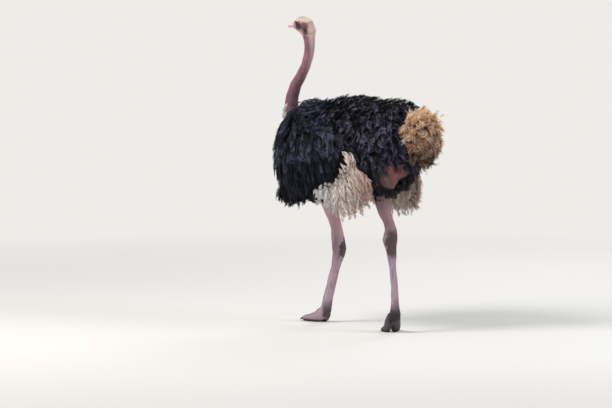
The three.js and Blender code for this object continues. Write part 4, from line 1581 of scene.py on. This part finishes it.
def neck_down(surface):
    """Down on the crown and bristles on the neck, a tuft round each ear, and the white collar."""
    paint = feather_paint("down_pale", linear(250, 238, 222), 0.7, 0.4, streaking=0.15, rooty=0.80)
    box = (np.array([-0.60, -0.10, 1.30]), np.array([-0.33, 0.10, 1.99]))

    def on_crown(points):
        x, z = points[:, 0], points[:, 2]
        crown = ramp(z, 1.930, 1.950) * ramp(x, -0.500, -0.470)
        nape = 0.55 * ramp(x, -0.402, -0.375) * ramp(z, 1.78, 1.88)
        face = 0.40 * ramp(z, 1.84, 1.90) * ramp(x, -0.490, -0.460)
        densest = np.maximum(np.maximum(crown, nape), face)
        return (z > 1.55) * (x < -0.33) * np.maximum(0.03, densest)

    crown = surface.scattered(DOWN_SPACING, on_crown)
    length = rng.uniform(0.005, 0.009, len(crown[0])) + 0.005 * ramp(crown[0][:, 2], 1.93, 1.97)
    coat_piece("head_down", "head_down", paint, surface, crown, lie_of_down, length, DOWN_PLAN, box,
               down_tints, axis=2)

    def tuft_tints(points, shade):
        return ranged((62, 44, 40), (150, 120, 108), shade)

    for name, side in SIDES.items():
        ear = middle_of("ear_" + name)

        def round_ear(points):
            across = np.hypot((points[:, 0] - ear[0]) / 0.0080, (points[:, 2] - ear[2]) / 0.0120)
            return (points[:, 1] * side > 0.02) * (across > 0.95) * (across < 1.7)

        def lie_of_tuft(place, out):
            return BACKWARD * 0.5 + unit(ear - place) * 0.5

        tuft = surface.scattered(TUFT_SPACING, round_ear)
        length = rng.uniform(0.006, 0.011, len(tuft[0]))
        piece = coat_piece("ear_tuft_" + name, "ear_skin", paint, surface, tuft, lie_of_tuft, length,
                           TUFT_PLAN, box, tuft_tints, axis=2)
        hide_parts("ear_" + name)

    def on_collar(points):
        x, y, z = points.T
        above = z - neckline(x)
        return (above > -0.01) * (above < 0.050) * ramp(-x, 0.528, 0.548) * (abs(y) < 0.065)

    collar = surface.scattered(COLLAR_SPACING, on_collar)
    length = rng.uniform(0.035, 0.065, len(collar[0]))
    coat_piece("neck_collar", "pale_plumage", paint, surface, collar, lie_of_down, length,
               COLLAR_PLAN, box, down_tints, axis=2)


# ---- Stage ----
def stage():
    """A pale floor that fades into a pale background, and a soft fill from all round."""
    pale = linear(238, 236, 232)
    ground = Paint("stage_floor", roughness=0.9, specular_ior_level=0.0)
    ground.set("Base Color", linear(226, 224, 220))
    far = ground.between(ground.vectors("LENGTH", ground.place(), output="Value"), 2.2, 6.5)
    glow = ground.add("Emission", None, {"Color": pale, "Strength": 1.0})
    seen = ground.add("LightPath", output="Is Camera Ray")
    blend = ground.add("MixShader", None, {0: far * seen, 1: ground.surface.outputs[0], 2: glow})
    plug(ground.tree, ground.output.inputs["Surface"], blend)
    shape = bmesh.new()
    bmesh.ops.create_circle(shape, cap_ends=True, radius=400, segments=96)
    floor = object_of("floor", shape)
    floor.data.materials.append(ground.material)
    world = bpy.data.worlds.new("studio")
    world.use_nodes = True
    bpy.context.scene.world = world
    tree = world.node_tree
    tree.nodes.clear()
    seen = node_in(tree, "ShaderNodeLightPath")["Is Camera Ray"]
    fill = node_in(tree, "ShaderNodeBackground", None, {"Color": (0.92, 0.96, 1.0), "Strength": 0.46})[0]
    behind = node_in(tree, "ShaderNodeBackground", None, {"Color": pale})[0]
    chosen = node_in(tree, "ShaderNodeMixShader", None, {0: seen, 1: fill, 2: behind})[0]
    node_in(tree, "ShaderNodeOutputWorld", None, {0: chosen})


def placed(name, data, place, turn):
    """A light or camera in the scene."""
    thing = bpy.data.objects.new(name, data)
    bpy.context.scene.collection.objects.link(thing)
    thing.location = place
    thing.rotation_euler = turn.to_euler()
    return thing


def lamp(name, place, power, colour):
    data = bpy.data.lights.new(name, "AREA")
    data.shape = "DISK"
    data.size = LAMP_SIZE
    data.energy = power
    data.color = colour
    placed(name, data, place, (LAMP_AIM - Vector(place)).to_track_quat("-Z", "Y"))


def lights_and_camera():
    """A warm key light, two cooler fills, and a camera far off, level with the bird."""
    lamp("key", (-2.5, -4.5, 6.0), 400, (1.0, 0.97, 0.93))
    lamp("side", (5.5, 1.0, 3.5), 160, (0.95, 0.97, 1.0))
    lamp("back", (-1.0, 5.5, 4.0), 130, (1.0, 1.0, 1.0))
    right = Vector((math.cos(VIEW_AZIMUTH), math.sin(VIEW_AZIMUTH), 0))
    back = Vector((math.sin(VIEW_AZIMUTH) * math.cos(VIEW_ELEVATION),
                   -math.cos(VIEW_AZIMUTH) * math.cos(VIEW_ELEVATION), math.sin(VIEW_ELEVATION)))
    middle = right * PICTURE_MIDDLE[0] + back.cross(right) * PICTURE_MIDDLE[1]
    data = bpy.data.cameras.new("camera")
    data.sensor_width = SENSOR_WIDTH
    data.lens = SENSOR_WIDTH * CAMERA_DISTANCE / PICTURE_WIDTH
    data.clip_end = 1000
    scene = bpy.context.scene
    scene.camera = placed("camera", data, middle + back * CAMERA_DISTANCE, back.to_track_quat("Z", "Y"))
    scene.view_settings.view_transform = "Standard"


# ---- The bird, put together ----
stage()
lights_and_camera()
envelope = plumage_envelope()
leg_copies = {name: merged_copy("leg_" + name, *[node for node in LEG_NODES if node.endswith(name)])
              for name in SIDES}
leg_gaps = {name: Surface(copy.data) for name, copy in leg_copies.items()}
skin = painted_skin(made_skin(envelope))
skin_surface = Surface(skin.data)
pale_paint = feather_paint("plumage_pale", linear(254, 244, 238), 0.62, 0.5, streaking=0.2, rooty=0.65)
body_plumage(envelope)
for side_name in SIDES:
    wing_plumes(side_name, pale_paint)
tail_plumage()
neck_down(skin_surface)

ROWS = row_tree()
one_plate, one_lash = plate(), lash()
plate_paint = scute_paint()
lash_paint = Paint("lash_dark", base_color=linear(26, 20, 20), roughness=0.6)
claw_paint = horn_paint("claw_horn", linear(70, 58, 56), linear(120, 102, 92), linear(40, 34, 36))
beak_paint = bill_paint()
for node in ("bill_upper", "bill_lower"):
    bill_part(node, beak_paint)
for side_name, side in SIDES.items():
    eyeball(side_name, side)
    lashes(side_name, side, one_lash, lash_paint)
    scutes(side_name, one_plate, plate_paint, skin_surface)
    for toe in ("big_claw_", "outer_claw_"):
        claw(toe + side_name, claw_paint)
for helper in (envelope, one_plate, one_lash, *leg_copies.values()):
    bpy.data.objects.remove(helper)
